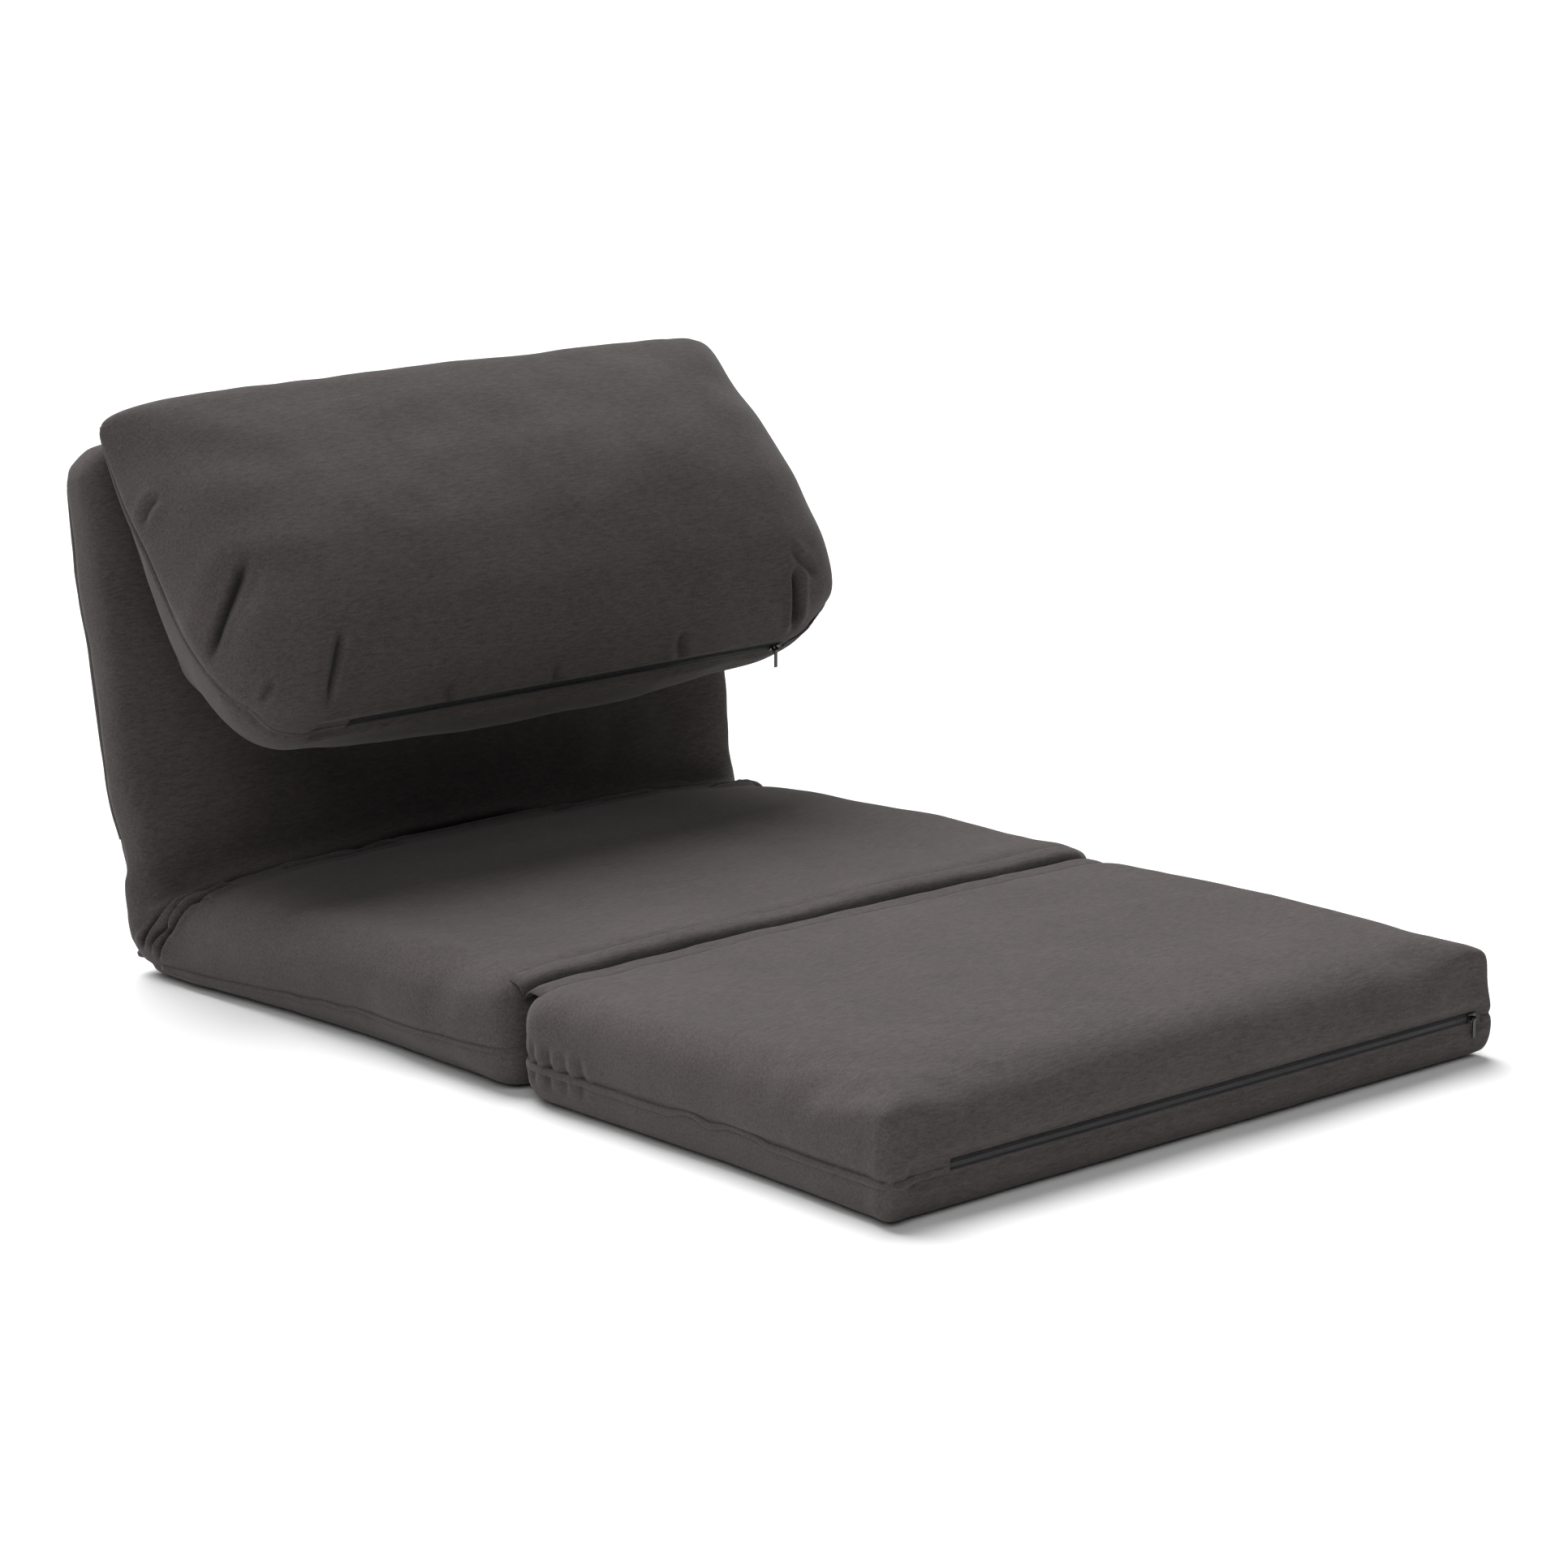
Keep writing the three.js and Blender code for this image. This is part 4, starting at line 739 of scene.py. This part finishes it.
pillow_folds = (
    (long_fold, 5, 14),
    (long_fold, 4.5, 4),
    (short_fold, 3, 9),
    (short_fold, 4, 3.8),
    ([(197, 609), (182, 626), (174, 650), (174, 717)], 4, 5),
    ([(339, 838), (330, 852), (321, 864)], 4, 3.6),
    ([(980, 690), (983, 725), (983, 750), (979, 781)], 8, 5),
    ([(972, 672), (990, 694), (1008, 708)], 4, 5),
    ([(944, 522), (955, 548), (974, 572)], 5, 6),
    ([(560, 880), (556, 862), (560, 838)], 3, 6),
    ([(690, 858), (684, 838), (690, 815)], 3, 6),
    ([(840, 818), (838, 796), (846, 775)], 3.5, 6),
)


def marked_lines(tree, marks):
    """A fold behind marks of the photograph, and its twin on the other side of the chair."""
    line = eased(cast(tree, marks), 4)
    twin = onto(tree, [Vector((-p.x, p.y, p.z)) for p in line])
    return line, twin


def sink(piece, rise):
    """Moves the cloth along its own outward direction; nothing goes below the floor."""
    points = places(piece.data)
    points += outward(piece.data) * rise[:, None]
    points[:, 2] = np.maximum(points[:, 2], 0)
    set_places(piece.data, points)


def paint_shade_in_folds(piece, folds, deep):
    """Notes how deep in a fold each point lies, for the painted shade that makes the cloth darker there."""
    shade = piece.data.attributes.new("painted_fold_shade", "FLOAT", "POINT")
    shade.data.foreach_set("value", np.clip(-folds / deep, 0, 1).astype(np.float32))


def sewn_cover(piece):
    """The seams, the crease and the pleats of the cover."""
    tree = tree_of(piece.data)
    points = places(piece.data)
    rise = 2.0 * MM * unevenness(points, 130 * MM, 1) + 0.7 * MM * unevenness(points, 45 * MM, 2)
    rise *= np.clip((points[:, 2] - 1 * MM) / (12 * MM), 0, 1)
    rise *= np.clip((points[:, 1] - seat_front) / (20 * MM), 0, 1)
    for line, seed in ((seat_seam, 11), (back_seam_line(), 12)):
        rise += seam_draw(points, onto(tree, line), 1.8 * MM, 4 * MM, 0.7 * MM, 16 * MM, 24 * MM, seed)
    folds = np.zeros(len(points))
    for line in marked_lines(tree, crease_marks):
        folds += valley(points, line, 8 * MM, 4 * MM, 0.2, 0.1)
    for marks, depth, width in corner_pleats:
        for line in marked_lines(tree, marks):
            folds += valley(points, line, depth * MM, width * MM, 0.4, 0.12)
    sink(piece, rise + folds)
    # Painted shade darkens the cloth down in the crease and the pleats.
    paint_shade_in_folds(piece, folds, 4 * MM)


def zip_place(name):
    """The middle of a zip, the way across it, the way it faces and how far it runs from its middle."""
    upper, lower = (places(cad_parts[f"{name}_{part}_tape"].data) for part in ("upper", "lower"))
    middle = (upper.mean(axis=0) + lower.mean(axis=0)) / 2
    across = upper.mean(axis=0) - lower.mean(axis=0)
    across /= np.linalg.norm(across)
    facing = np.cross((1, 0, 0), across)
    facing *= -np.sign(facing[1])
    both = np.concatenate([upper, lower]) - middle
    return middle + facing * (both @ facing).max(), across, facing, abs(both[:, 0]).max()


def flat_at_zip(points, name):
    """The cloth behind a zip, laid in the zip's own straight line so that the slider can run."""
    middle, across, facing, reach = zip_place(name)
    away = points - middle
    height = away @ facing
    beside = np.clip((16 * MM - abs(away @ across)) / (9 * MM), 0, 1)
    along = np.clip((reach + 14 * MM - abs(away[:, 0])) / (14 * MM), 0, 1)
    share = (beside * along) ** 2 * (3 - 2 * beside * along)
    share *= abs(height) < 30 * MM
    return points - facing * ((height + 1 * MM) * share)[:, None]


def sewn_footrest(piece):
    """The seam round the footrest, its boxed corners and the puckers at its rear end."""
    tree = tree_of(piece.data)
    points = places(piece.data)
    rise = 1.8 * MM * unevenness(points, 140 * MM, 3) + 0.6 * MM * unevenness(points, 40 * MM, 4)
    rise *= np.clip((points[:, 2] - 1 * MM) / (12 * MM), 0, 1)
    rise *= np.clip((footrest_rear - points[:, 1]) / (20 * MM), 0, 1)
    rise += seam_draw(points, onto(tree, footrest_line), 2.4 * MM, 4 * MM, 1.1 * MM, 18 * MM, 22 * MM, 21)
    folds = np.zeros(len(points))
    for side in (-1, 1):
        edge = [Vector((side * 372 * MM, -754 * MM, z * MM)) for z in (4, 20, 41, 60, 80, 98)]
        rise += 1.6 * MM * np.exp(-((from_line(points, onto(tree, edge))[0] / (6 * MM)) ** 2))
        rise += valley(points, onto(tree, [p + Vector((0, 4 * MM, 0)) for p in edge]), 1.5 * MM, 3.5 * MM)
        for k, depth in enumerate((3.4, 2.6, 3.0, 1.8, 2.2)):
            y = (-276 - 19 * k) * MM
            pucker = [Vector((side * 380 * MM, y - 3 * MM * k % 2, z * MM)) for z in (14, 26, 38, 52, 66)]
            folds += valley(points, onto(tree, pucker), depth * MM, 5 * MM, 0.4)
    sink(piece, rise + folds)
    # Painted shade darkens the cloth down in the puckers.
    paint_shade_in_folds(piece, folds, 7 * MM)
    set_places(piece.data, flat_at_zip(places(piece.data), "footrest_zip"))


def sewn_pillow(piece):
    """The seam and the deep folds of the pillow."""
    tree = tree_of(piece.data)
    points = places(piece.data)
    leaning = in_back_frame(points)
    rise = 3.2 * MM * unevenness(points, 120 * MM, 5) + 1.0 * MM * unevenness(points, 42 * MM, 6)
    rise *= np.clip((-leaning[:, 1] - 1 * MM) / (14 * MM), 0, 1)
    rise += seam_draw(points, onto(tree, pillow_seam_line()), 2.2 * MM, 4 * MM, 1.6 * MM, 22 * MM, 26 * MM, 31)
    folds = np.zeros(len(points))
    for marks, depth, width in pillow_folds:
        folds += valley(points, eased(cast(tree, marks), 4), depth * MM, width * MM, 0.45)
    sink(piece, rise + folds)
    # Painted shade darkens the cloth down in the pillow's folds.
    paint_shade_in_folds(piece, folds, 9 * MM)
    set_places(piece.data, flat_at_zip(places(piece.data), "pillow_zip"))


def room_to_fold(lower, upper):
    """Presses the tops of seat and footrest where they would meet when the footrest lies on the seat."""
    gap, onset = 1.5 * MM, 3 * MM
    trees = tree_of(lower.data), tree_of(upper.data)
    for piece, other in ((lower, trees[1]), (upper, trees[0])):
        points = places(piece.data)
        for i in np.flatnonzero((points[:, 2] > 50 * MM) & (points[:, 1] < 235 * MM)):
            x, y, z = points[i]
            facing_it = other.ray_cast(Vector((x, 2 * fold_line.y - y, 1)), Vector((0, 0, -1)))[0]
            if facing_it is None or facing_it.z < 50 * MM:
                continue
            crossing = z + facing_it.z - 2 * fold_line.z + gap
            if crossing > onset:
                points[i, 2] -= crossing / 2
            elif crossing > -onset:
                points[i, 2] -= (crossing + onset) ** 2 / (8 * onset)
        set_places(piece.data, points)


# Materials


def blank_finish(name):
    finish = bpy.data.materials.new(name)
    finish.use_nodes = True
    nodes = finish.node_tree.nodes
    return finish, nodes, finish.node_tree.links, nodes["Principled BSDF"]


def add_node(nodes, kind, settings=None, **values):
    node = nodes.new(kind)
    for key, value in (settings or {}).items():
        setattr(node, key, value)
    for key, value in values.items():
        node.inputs[key.replace("_", " ")].default_value = value
    return node


def stretched_noise(nodes, links, place, scale, stretch, detail):
    turn = add_node(nodes, "ShaderNodeMapping", Scale=stretch)
    links.new(place, turn.inputs["Vector"])
    grain = add_node(nodes, "ShaderNodeTexNoise", Scale=scale, Detail=detail, Roughness=0.6)
    links.new(turn.outputs["Vector"], grain.inputs["Vector"])
    return grain.outputs["Fac"]


def sum_of(nodes, links, a, b, share_a, share_b):
    left = add_node(nodes, "ShaderNodeMath", {"operation": "MULTIPLY"})
    right = add_node(nodes, "ShaderNodeMath", {"operation": "MULTIPLY"})
    total = add_node(nodes, "ShaderNodeMath", {"operation": "ADD"})
    links.new(a, left.inputs[0])
    left.inputs[1].default_value = share_a
    links.new(b, right.inputs[0])
    right.inputs[1].default_value = share_b
    links.new(left.outputs[0], total.inputs[0])
    links.new(right.outputs[0], total.inputs[1])
    return total.outputs[0]


def brushed_cloth(name, light, dark, weave_pitch, bump):
    """Woven upholstery cloth, brushed soft, with slubs that run across the chair, and painted shade that darkens it
    down in its folds.
    """
    finish, nodes, links, shader = blank_finish(name)
    place = add_node(nodes, "ShaderNodeTexCoord").outputs["Object"]
    slub = stretched_noise(nodes, links, place, 460, (0.2, 1, 1), 3)
    fleck = stretched_noise(nodes, links, place, 1100, (0.5, 1, 1), 2)
    mottle = stretched_noise(nodes, links, place, 9, (1, 1, 1), 4)
    mixed = sum_of(nodes, links, slub, fleck, 0.5, 0.5)
    toned = sum_of(nodes, links, mixed, mottle, 0.85, 0.15)
    ramp = add_node(nodes, "ShaderNodeValToRGB")
    ramp.color_ramp.elements[0].position = 0.38
    ramp.color_ramp.elements[0].color = (*dark, 1)
    ramp.color_ramp.elements[1].position = 0.62
    ramp.color_ramp.elements[1].color = (*light, 1)
    links.new(toned, ramp.inputs["Fac"])
    # Painted shade: the colour is darkened to as little as 15% of its value where a fold is deepest.
    fold = add_node(nodes, "ShaderNodeAttribute", {"attribute_name": "painted_fold_shade"})
    kept = add_node(nodes, "ShaderNodeMapRange")
    kept.inputs["To Min"].default_value = 1
    kept.inputs["To Max"].default_value = 0.15
    links.new(fold.outputs["Fac"], kept.inputs["Value"])
    painted_shade_colour = add_node(nodes, "ShaderNodeHueSaturation")
    links.new(kept.outputs["Result"], painted_shade_colour.inputs["Value"])
    links.new(ramp.outputs["Color"], painted_shade_colour.inputs["Color"])
    links.new(painted_shade_colour.outputs["Color"], shader.inputs["Base Color"])
    warp = add_node(nodes, "ShaderNodeTexWave", {"bands_direction": "X"}, Scale=weave_pitch, Distortion=0.6)
    weft = add_node(nodes, "ShaderNodeTexWave", {"bands_direction": "DIAGONAL"}, Scale=weave_pitch, Distortion=0.6)
    links.new(place, warp.inputs["Vector"])
    links.new(place, weft.inputs["Vector"])
    threads = sum_of(nodes, links, warp.outputs["Fac"], weft.outputs["Fac"], 0.5, 0.5)
    relief = sum_of(nodes, links, threads, mixed, 0.35, 0.65)
    rise = add_node(nodes, "ShaderNodeBump", Strength=bump, Distance=0.0006)
    links.new(relief, rise.inputs["Height"])
    links.new(rise.outputs["Normal"], shader.inputs["Normal"])
    rough = add_node(nodes, "ShaderNodeMapRange")
    rough.inputs["To Min"].default_value = 0.82
    rough.inputs["To Max"].default_value = 0.98
    links.new(mixed, rough.inputs["Value"])
    links.new(rough.outputs["Result"], shader.inputs["Roughness"])
    shader.inputs["Sheen Weight"].default_value = 0.1
    shader.inputs["Sheen Roughness"].default_value = 0.45
    shader.inputs["Specular IOR Level"].default_value = 0.2
    return finish


def metal_finish(name, light, dark, metallic, smooth, rough_end, grain_scale, stretch):
    """Steel or a cast metal with fine grain, handling marks and uneven gloss."""
    finish, nodes, links, shader = blank_finish(name)
    place = add_node(nodes, "ShaderNodeTexCoord").outputs["Object"]
    grain = stretched_noise(nodes, links, place, grain_scale, stretch, 4)
    cloud = stretched_noise(nodes, links, place, 35, (1, 1, 1), 3)
    mixed = sum_of(nodes, links, grain, cloud, 0.45, 0.55)
    ramp = add_node(nodes, "ShaderNodeValToRGB")
    ramp.color_ramp.elements[0].position = 0.3
    ramp.color_ramp.elements[0].color = (*dark, 1)
    ramp.color_ramp.elements[1].position = 0.7
    ramp.color_ramp.elements[1].color = (*light, 1)
    links.new(mixed, ramp.inputs["Fac"])
    links.new(ramp.outputs["Color"], shader.inputs["Base Color"])
    rough = add_node(nodes, "ShaderNodeMapRange")
    rough.inputs["To Min"].default_value = smooth
    rough.inputs["To Max"].default_value = rough_end
    links.new(mixed, rough.inputs["Value"])
    links.new(rough.outputs["Result"], shader.inputs["Roughness"])
    rise = add_node(nodes, "ShaderNodeBump", Strength=0.15, Distance=0.0003)
    links.new(grain, rise.inputs["Height"])
    links.new(rise.outputs["Normal"], shader.inputs["Normal"])
    shader.inputs["Metallic"].default_value = metallic
    return finish


charcoal_cloth = brushed_cloth("charcoal_cloth", (0.094, 0.081, 0.079), (0.048, 0.041, 0.04), 420, 0.5)
base_cloth = brushed_cloth("base_cloth", (0.03, 0.029, 0.03), (0.014, 0.013, 0.014), 300, 0.5)
zip_tape_cloth = brushed_cloth("zip_tape_cloth", (0.022, 0.021, 0.023), (0.009, 0.009, 0.01), 900, 0.4)
zinc_plate = metal_finish("zinc_plate", (0.62, 0.62, 0.6), (0.4, 0.41, 0.41), 1, 0.28, 0.5, 300, (1, 1, 1))
black_tube = metal_finish("black_tube", (0.03, 0.03, 0.032), (0.015, 0.015, 0.016), 0, 0.35, 0.55, 700, (1, 1, 1))
spring_steel = metal_finish(
    "spring_steel", (0.3, 0.31, 0.33), (0.17, 0.18, 0.2), 1, 0.22, 0.38, 500, (0.1, 1, 1)
)
coil_nylon = metal_finish("coil_nylon", (0.03, 0.03, 0.032), (0.012, 0.012, 0.013), 0, 0.3, 0.5, 1200, (1, 1, 1))
gunmetal = metal_finish("gunmetal", (0.09, 0.088, 0.086), (0.04, 0.04, 0.04), 1, 0.25, 0.45, 900, (1, 1, 1))


def finish_of(node):
    """The finish of each metal part that is carried over from the solids."""
    if "spring" in node:
        return spring_steel
    if "slider" in node or "pull" in node:
        return gunmetal
    if "tube" in node and "rivet" not in node:
        return black_tube
    return zinc_plate


def dress(piece, *finishes):
    piece.data.materials.clear()
    for finish in finishes:
        piece.data.materials.append(finish)


# Studio


def studio():
    floor = new_piece("studio_floor", mesh_of("studio_floor", [(-6, -6, 0), (6, -6, 0), (6, 6, 0), (-6, 6, 0)],
                                              [(0, 1, 2, 3)]))
    pale, nodes, links, shader = blank_finish("pale_floor")
    place = add_node(nodes, "ShaderNodeTexCoord").outputs["Object"]
    cloud = stretched_noise(nodes, links, place, 0.8, (1, 1, 1), 2)
    ramp = add_node(nodes, "ShaderNodeValToRGB")
    ramp.color_ramp.elements[0].color = (0.93, 0.93, 0.93, 1)
    ramp.color_ramp.elements[1].color = (0.97, 0.97, 0.97, 1)
    links.new(cloud, ramp.inputs["Fac"])
    links.new(ramp.outputs["Color"], shader.inputs["Base Color"])
    shader.inputs["Roughness"].default_value = 0.9
    dress(floor, pale)
    world = bpy.data.worlds.new("studio_air")
    world.use_nodes = True
    nodes, links = world.node_tree.nodes, world.node_tree.links
    glow = nodes["Background"]
    glow.inputs["Color"].default_value = (1, 0.99, 0.985, 1)
    glow.inputs["Strength"].default_value = air_light
    seen = add_node(nodes, "ShaderNodeBackground", Color=(1, 1, 1, 1), Strength=1.05)
    path = add_node(nodes, "ShaderNodeLightPath")
    either = add_node(nodes, "ShaderNodeMixShader")
    links.new(path.outputs["Is Camera Ray"], either.inputs["Fac"])
    links.new(glow.outputs[0], either.inputs[1])
    links.new(seen.outputs[0], either.inputs[2])
    links.new(either.outputs[0], nodes["World Output"].inputs["Surface"])
    bpy.context.scene.world = world
    bpy.context.scene.view_settings.view_transform = "Standard"
    for name, place, strength, spread in (
        ("key", (0.6, 2.4, 4.0), 4.4, 50),
        ("fill", (-2.4, -1.8, 2.7), 1.0, 45),
    ):
        light = bpy.data.lights.new(name, "SUN")
        light.energy = strength
        light.angle = math.radians(spread)
        lamp = bpy.data.objects.new(name, light)
        lamp.location = place
        lamp.rotation_mode = "QUATERNION"
        lamp.rotation_quaternion = (-Vector(place)).to_track_quat("-Z", "Y")
        bpy.context.scene.collection.objects.link(lamp)
    eye = bpy.data.cameras.new("photo_eye")
    eye.lens = photo_focal / photo_side * sensor_side
    eye.sensor_width = sensor_side
    camera = bpy.data.objects.new("photo_eye", eye)
    camera.location = camera_place
    camera.rotation_mode = "QUATERNION"
    camera.rotation_quaternion = (camera_target - camera_place).to_track_quat("-Z", "Y")
    bpy.context.scene.collection.objects.link(camera)
    bpy.context.scene.camera = camera


# Assembly

studio()

for node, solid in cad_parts.items():
    dress(solid, finish_of(node))

cover = seat_and_back()
footrest = footrest_cushion()
pillow = head_pillow()

seat_seam = ring(half_width - 1 * MM, -265 * MM, 300 * MM, 30 * MM, 34 * MM, seat_seam_rise)
footrest_line = ring(
    half_width - 1 * MM, footrest_front, footrest_rear, 12 * MM, 34 * MM, lambda y: footrest_seam
)
sewn_cover(cover)
sewn_footrest(footrest)
sewn_pillow(pillow)

room_to_fold(cover, footrest)

cover_nodes = [
    "seat_cover",
    "seat_base_panel",
    "seat_foam",
    "back_cover_front",
    "back_cover_rear",
    "back_foam",
]
footrest_nodes = ["footrest_cover_top", "footrest_cover_base", "footrest_foam"]
pillow_nodes = ["pillow_cover_top", "pillow_cover_under", "pillow_filling"]
for piece, fill, nodes in (
    (cover, 0.6, cover_nodes),
    (footrest, 0.8, footrest_nodes),
    (pillow, 0.7, pillow_nodes),
):
    shade_smooth(piece)
    dress(piece, charcoal_cloth)
    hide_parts(*nodes)
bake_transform(cover)
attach(footrest, "footrest")
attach(pillow, "pillow")



def cloth_trim(piece, body, finish=None):
    dress(piece, finish or charcoal_cloth)
    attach(piece, body)


def under_panel(piece):
    """The darker cloth of a cushion's underside."""
    piece.data.materials.append(base_cloth)
    for face in piece.data.polygons:
        if face.normal.z < -0.6 and face.center.z < 3 * MM:
            face.material_index = 1


under_panel(cover)
under_panel(footrest)
cover_tree = tree_of(cover.data)
footrest_tree = tree_of(footrest.data)
pillow_tree = tree_of(pillow.data)
down = Vector((0, 0, -1))

seat_part = [p for p in seat_seam if p.y < 262 * MM]
cloth_trim(
    laid_strip("seat_seam_lip", seat_part, cover_tree, down, lip_section, 5 * MM, 1.3 * MM, 0.35, 1), "seat"
)
back_part = [p for p in back_seam_line() if p.z > 120 * MM]
cloth_trim(
    laid_strip(
        "back_seam_lip", back_part, cover_tree, Vector((0, 1, -0.2)), lip_section, 5 * MM, 1.2 * MM, 0.35, 2
    ),
    "back",
)
zip_start, zip_end = -302 * MM, 356 * MM
loop = footrest_line[:-1]
behind_zip = [i for i, p in enumerate(loop) if p.y < footrest_front + 2 * MM and zip_start < p.x < zip_end]
open_line = loop[behind_zip[-1] + 1:] + loop[: behind_zip[0]]
cloth_trim(
    laid_strip("footrest_seam_lip", open_line, footrest_tree, down, lip_section, 7 * MM, 1.7 * MM, 0.35, 3),
    "footrest",
)
pillow_seam = pillow_seam_line()
under_back = back_point(0, 0, 0) - back_point(0, 1, 0.6)
left_end = [p for p in pillow_seam if p.x < -246 * MM]
right_end = [p for p in pillow_seam if p.x > 301 * MM]
for name, part, seed in (("pillow_seam_lip_left", left_end, 5), ("pillow_seam_lip_right", right_end, 6)):
    cloth_trim(
        laid_strip(name, part, pillow_tree, -under_back, lip_section, 5 * MM, 1.3 * MM, 0.35, seed), "pillow"
    )

zips = (
    (
        "footrest_zip",
        "footrest",
        [Vector((zip_start + (zip_end - zip_start) * k / 110, footrest_front, footrest_seam)) for k in range(111)],
        footrest_tree,
        Vector((0, 0, 1)),
    ),
    (
        "pillow_zip",
        "pillow",
        [back_point((-246 + 547 * k / 90) * MM, -177 * MM, 174 * MM) for k in range(91)],
        pillow_tree,
        back_point(0, -0.81, 0.59) - back_point(0, 0, 0),
    ),
)
for name, body, line, tree, across in zips:
    for part, lay in (("upper", across), ("lower", -across)):
        tape = laid_strip(
            f"{name}_{part}_band", line, tree, lay, tape_section, 4.8 * MM, 0.8 * MM, 0.1, 7, 30
        )
        dress(tape, zip_tape_cloth)
        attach(tape, body)
        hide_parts(f"{name}_{part}_tape")
    coil = zip_coil(f"{name}_coil", line, tree, across, coil_nylon)
    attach(coil, body)


def top_of(tree, x, y):
    """The height of the cloth at a place seen from above."""
    hit = tree.ray_cast(Vector((x, y, 1)), Vector((0, 0, -1)))[0]
    return hit.z if hit else fold_line.z - 30 * MM


web_rows, dips = [], []
for step in range(63):
    x = (-353.4 + 11.4 * step) * MM
    rear, front = fold_line.y + 25 * MM, fold_line.y - 25 * MM
    high, low = top_of(cover_tree, x, rear), top_of(footrest_tree, x, front)
    row = []
    for k in range(25):
        share = k / 24
        eased_share = share * share * (3 - 2 * share)
        y = rear + (front - rear) * share
        dip = 10 * MM * math.exp(-((abs(y - fold_line.y) / (4 * MM)) ** 1.3))
        wave = 1.0 * MM * noise.noise(Vector((x / (40 * MM), share * 2, 4)))
        edge = {0: -1.7, 1: -0.6, 23: -0.6, 24: -1.7}.get(k, 0) * MM
        row.append(Vector((x, y, high + (low - high) * eased_share - dip + wave * math.sin(math.pi * share) + edge)))
        dips.append(-dip)
    web_rows.append(row)
fold_web = cloth_web("footrest_fold_web", web_rows, 1.6 * MM)
# Painted shade darkens the web along its groove, the more the deeper it dips.
paint_shade_in_folds(fold_web, np.array(dips + dips), 11 * MM)
dress(fold_web, charcoal_cloth)
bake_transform(fold_web)
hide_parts("footrest_fold_strip")

hang = [(36, 476), (30, 480.5), (24, 484), (18, 486.5), (13, 488)]
hang_rows = []
for k in range(34):
    row = [back_point((-330 + 20 * k) * MM, y * MM, z * MM) for y, z in hang]
    row[0] = cover_tree.find_nearest(row[0])[0]
    row[1] = cover_tree.find_nearest(row[1])[0].lerp(row[1], 0.3)
    hang_rows.append(row)
pillow_web = cloth_web("pillow_fold_web", hang_rows, 1.2 * MM)
dress(pillow_web, charcoal_cloth)
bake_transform(pillow_web)
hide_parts("pillow_fold_strip")

for side, label in ((-1, "left"), (1, "right")):
    corner = cover_tree.find_nearest(Vector((side * 380 * MM, 310 * MM, 6 * MM)))[0] + Vector((0, 1 * MM, 1 * MM))
    knot = bmesh.new()
    bmesh.ops.create_icosphere(knot, subdivisions=3, radius=1)
    for vert in knot.verts:
        crumple = 1 + 0.35 * noise.noise(vert.co * 1.6 + Vector((side, 0, 3)))
        vert.co = corner + Vector((vert.co.x * 4.5 * MM, vert.co.y * 6 * MM, vert.co.z * 5 * MM)) * crumple
    mesh = bpy.data.meshes.new(f"corner_tab_{label}")
    knot.to_mesh(mesh)
    knot.free()
    tab = new_piece(f"corner_tab_{label}", mesh)
    shade_smooth(tab)
    cloth_trim(tab, "seat")
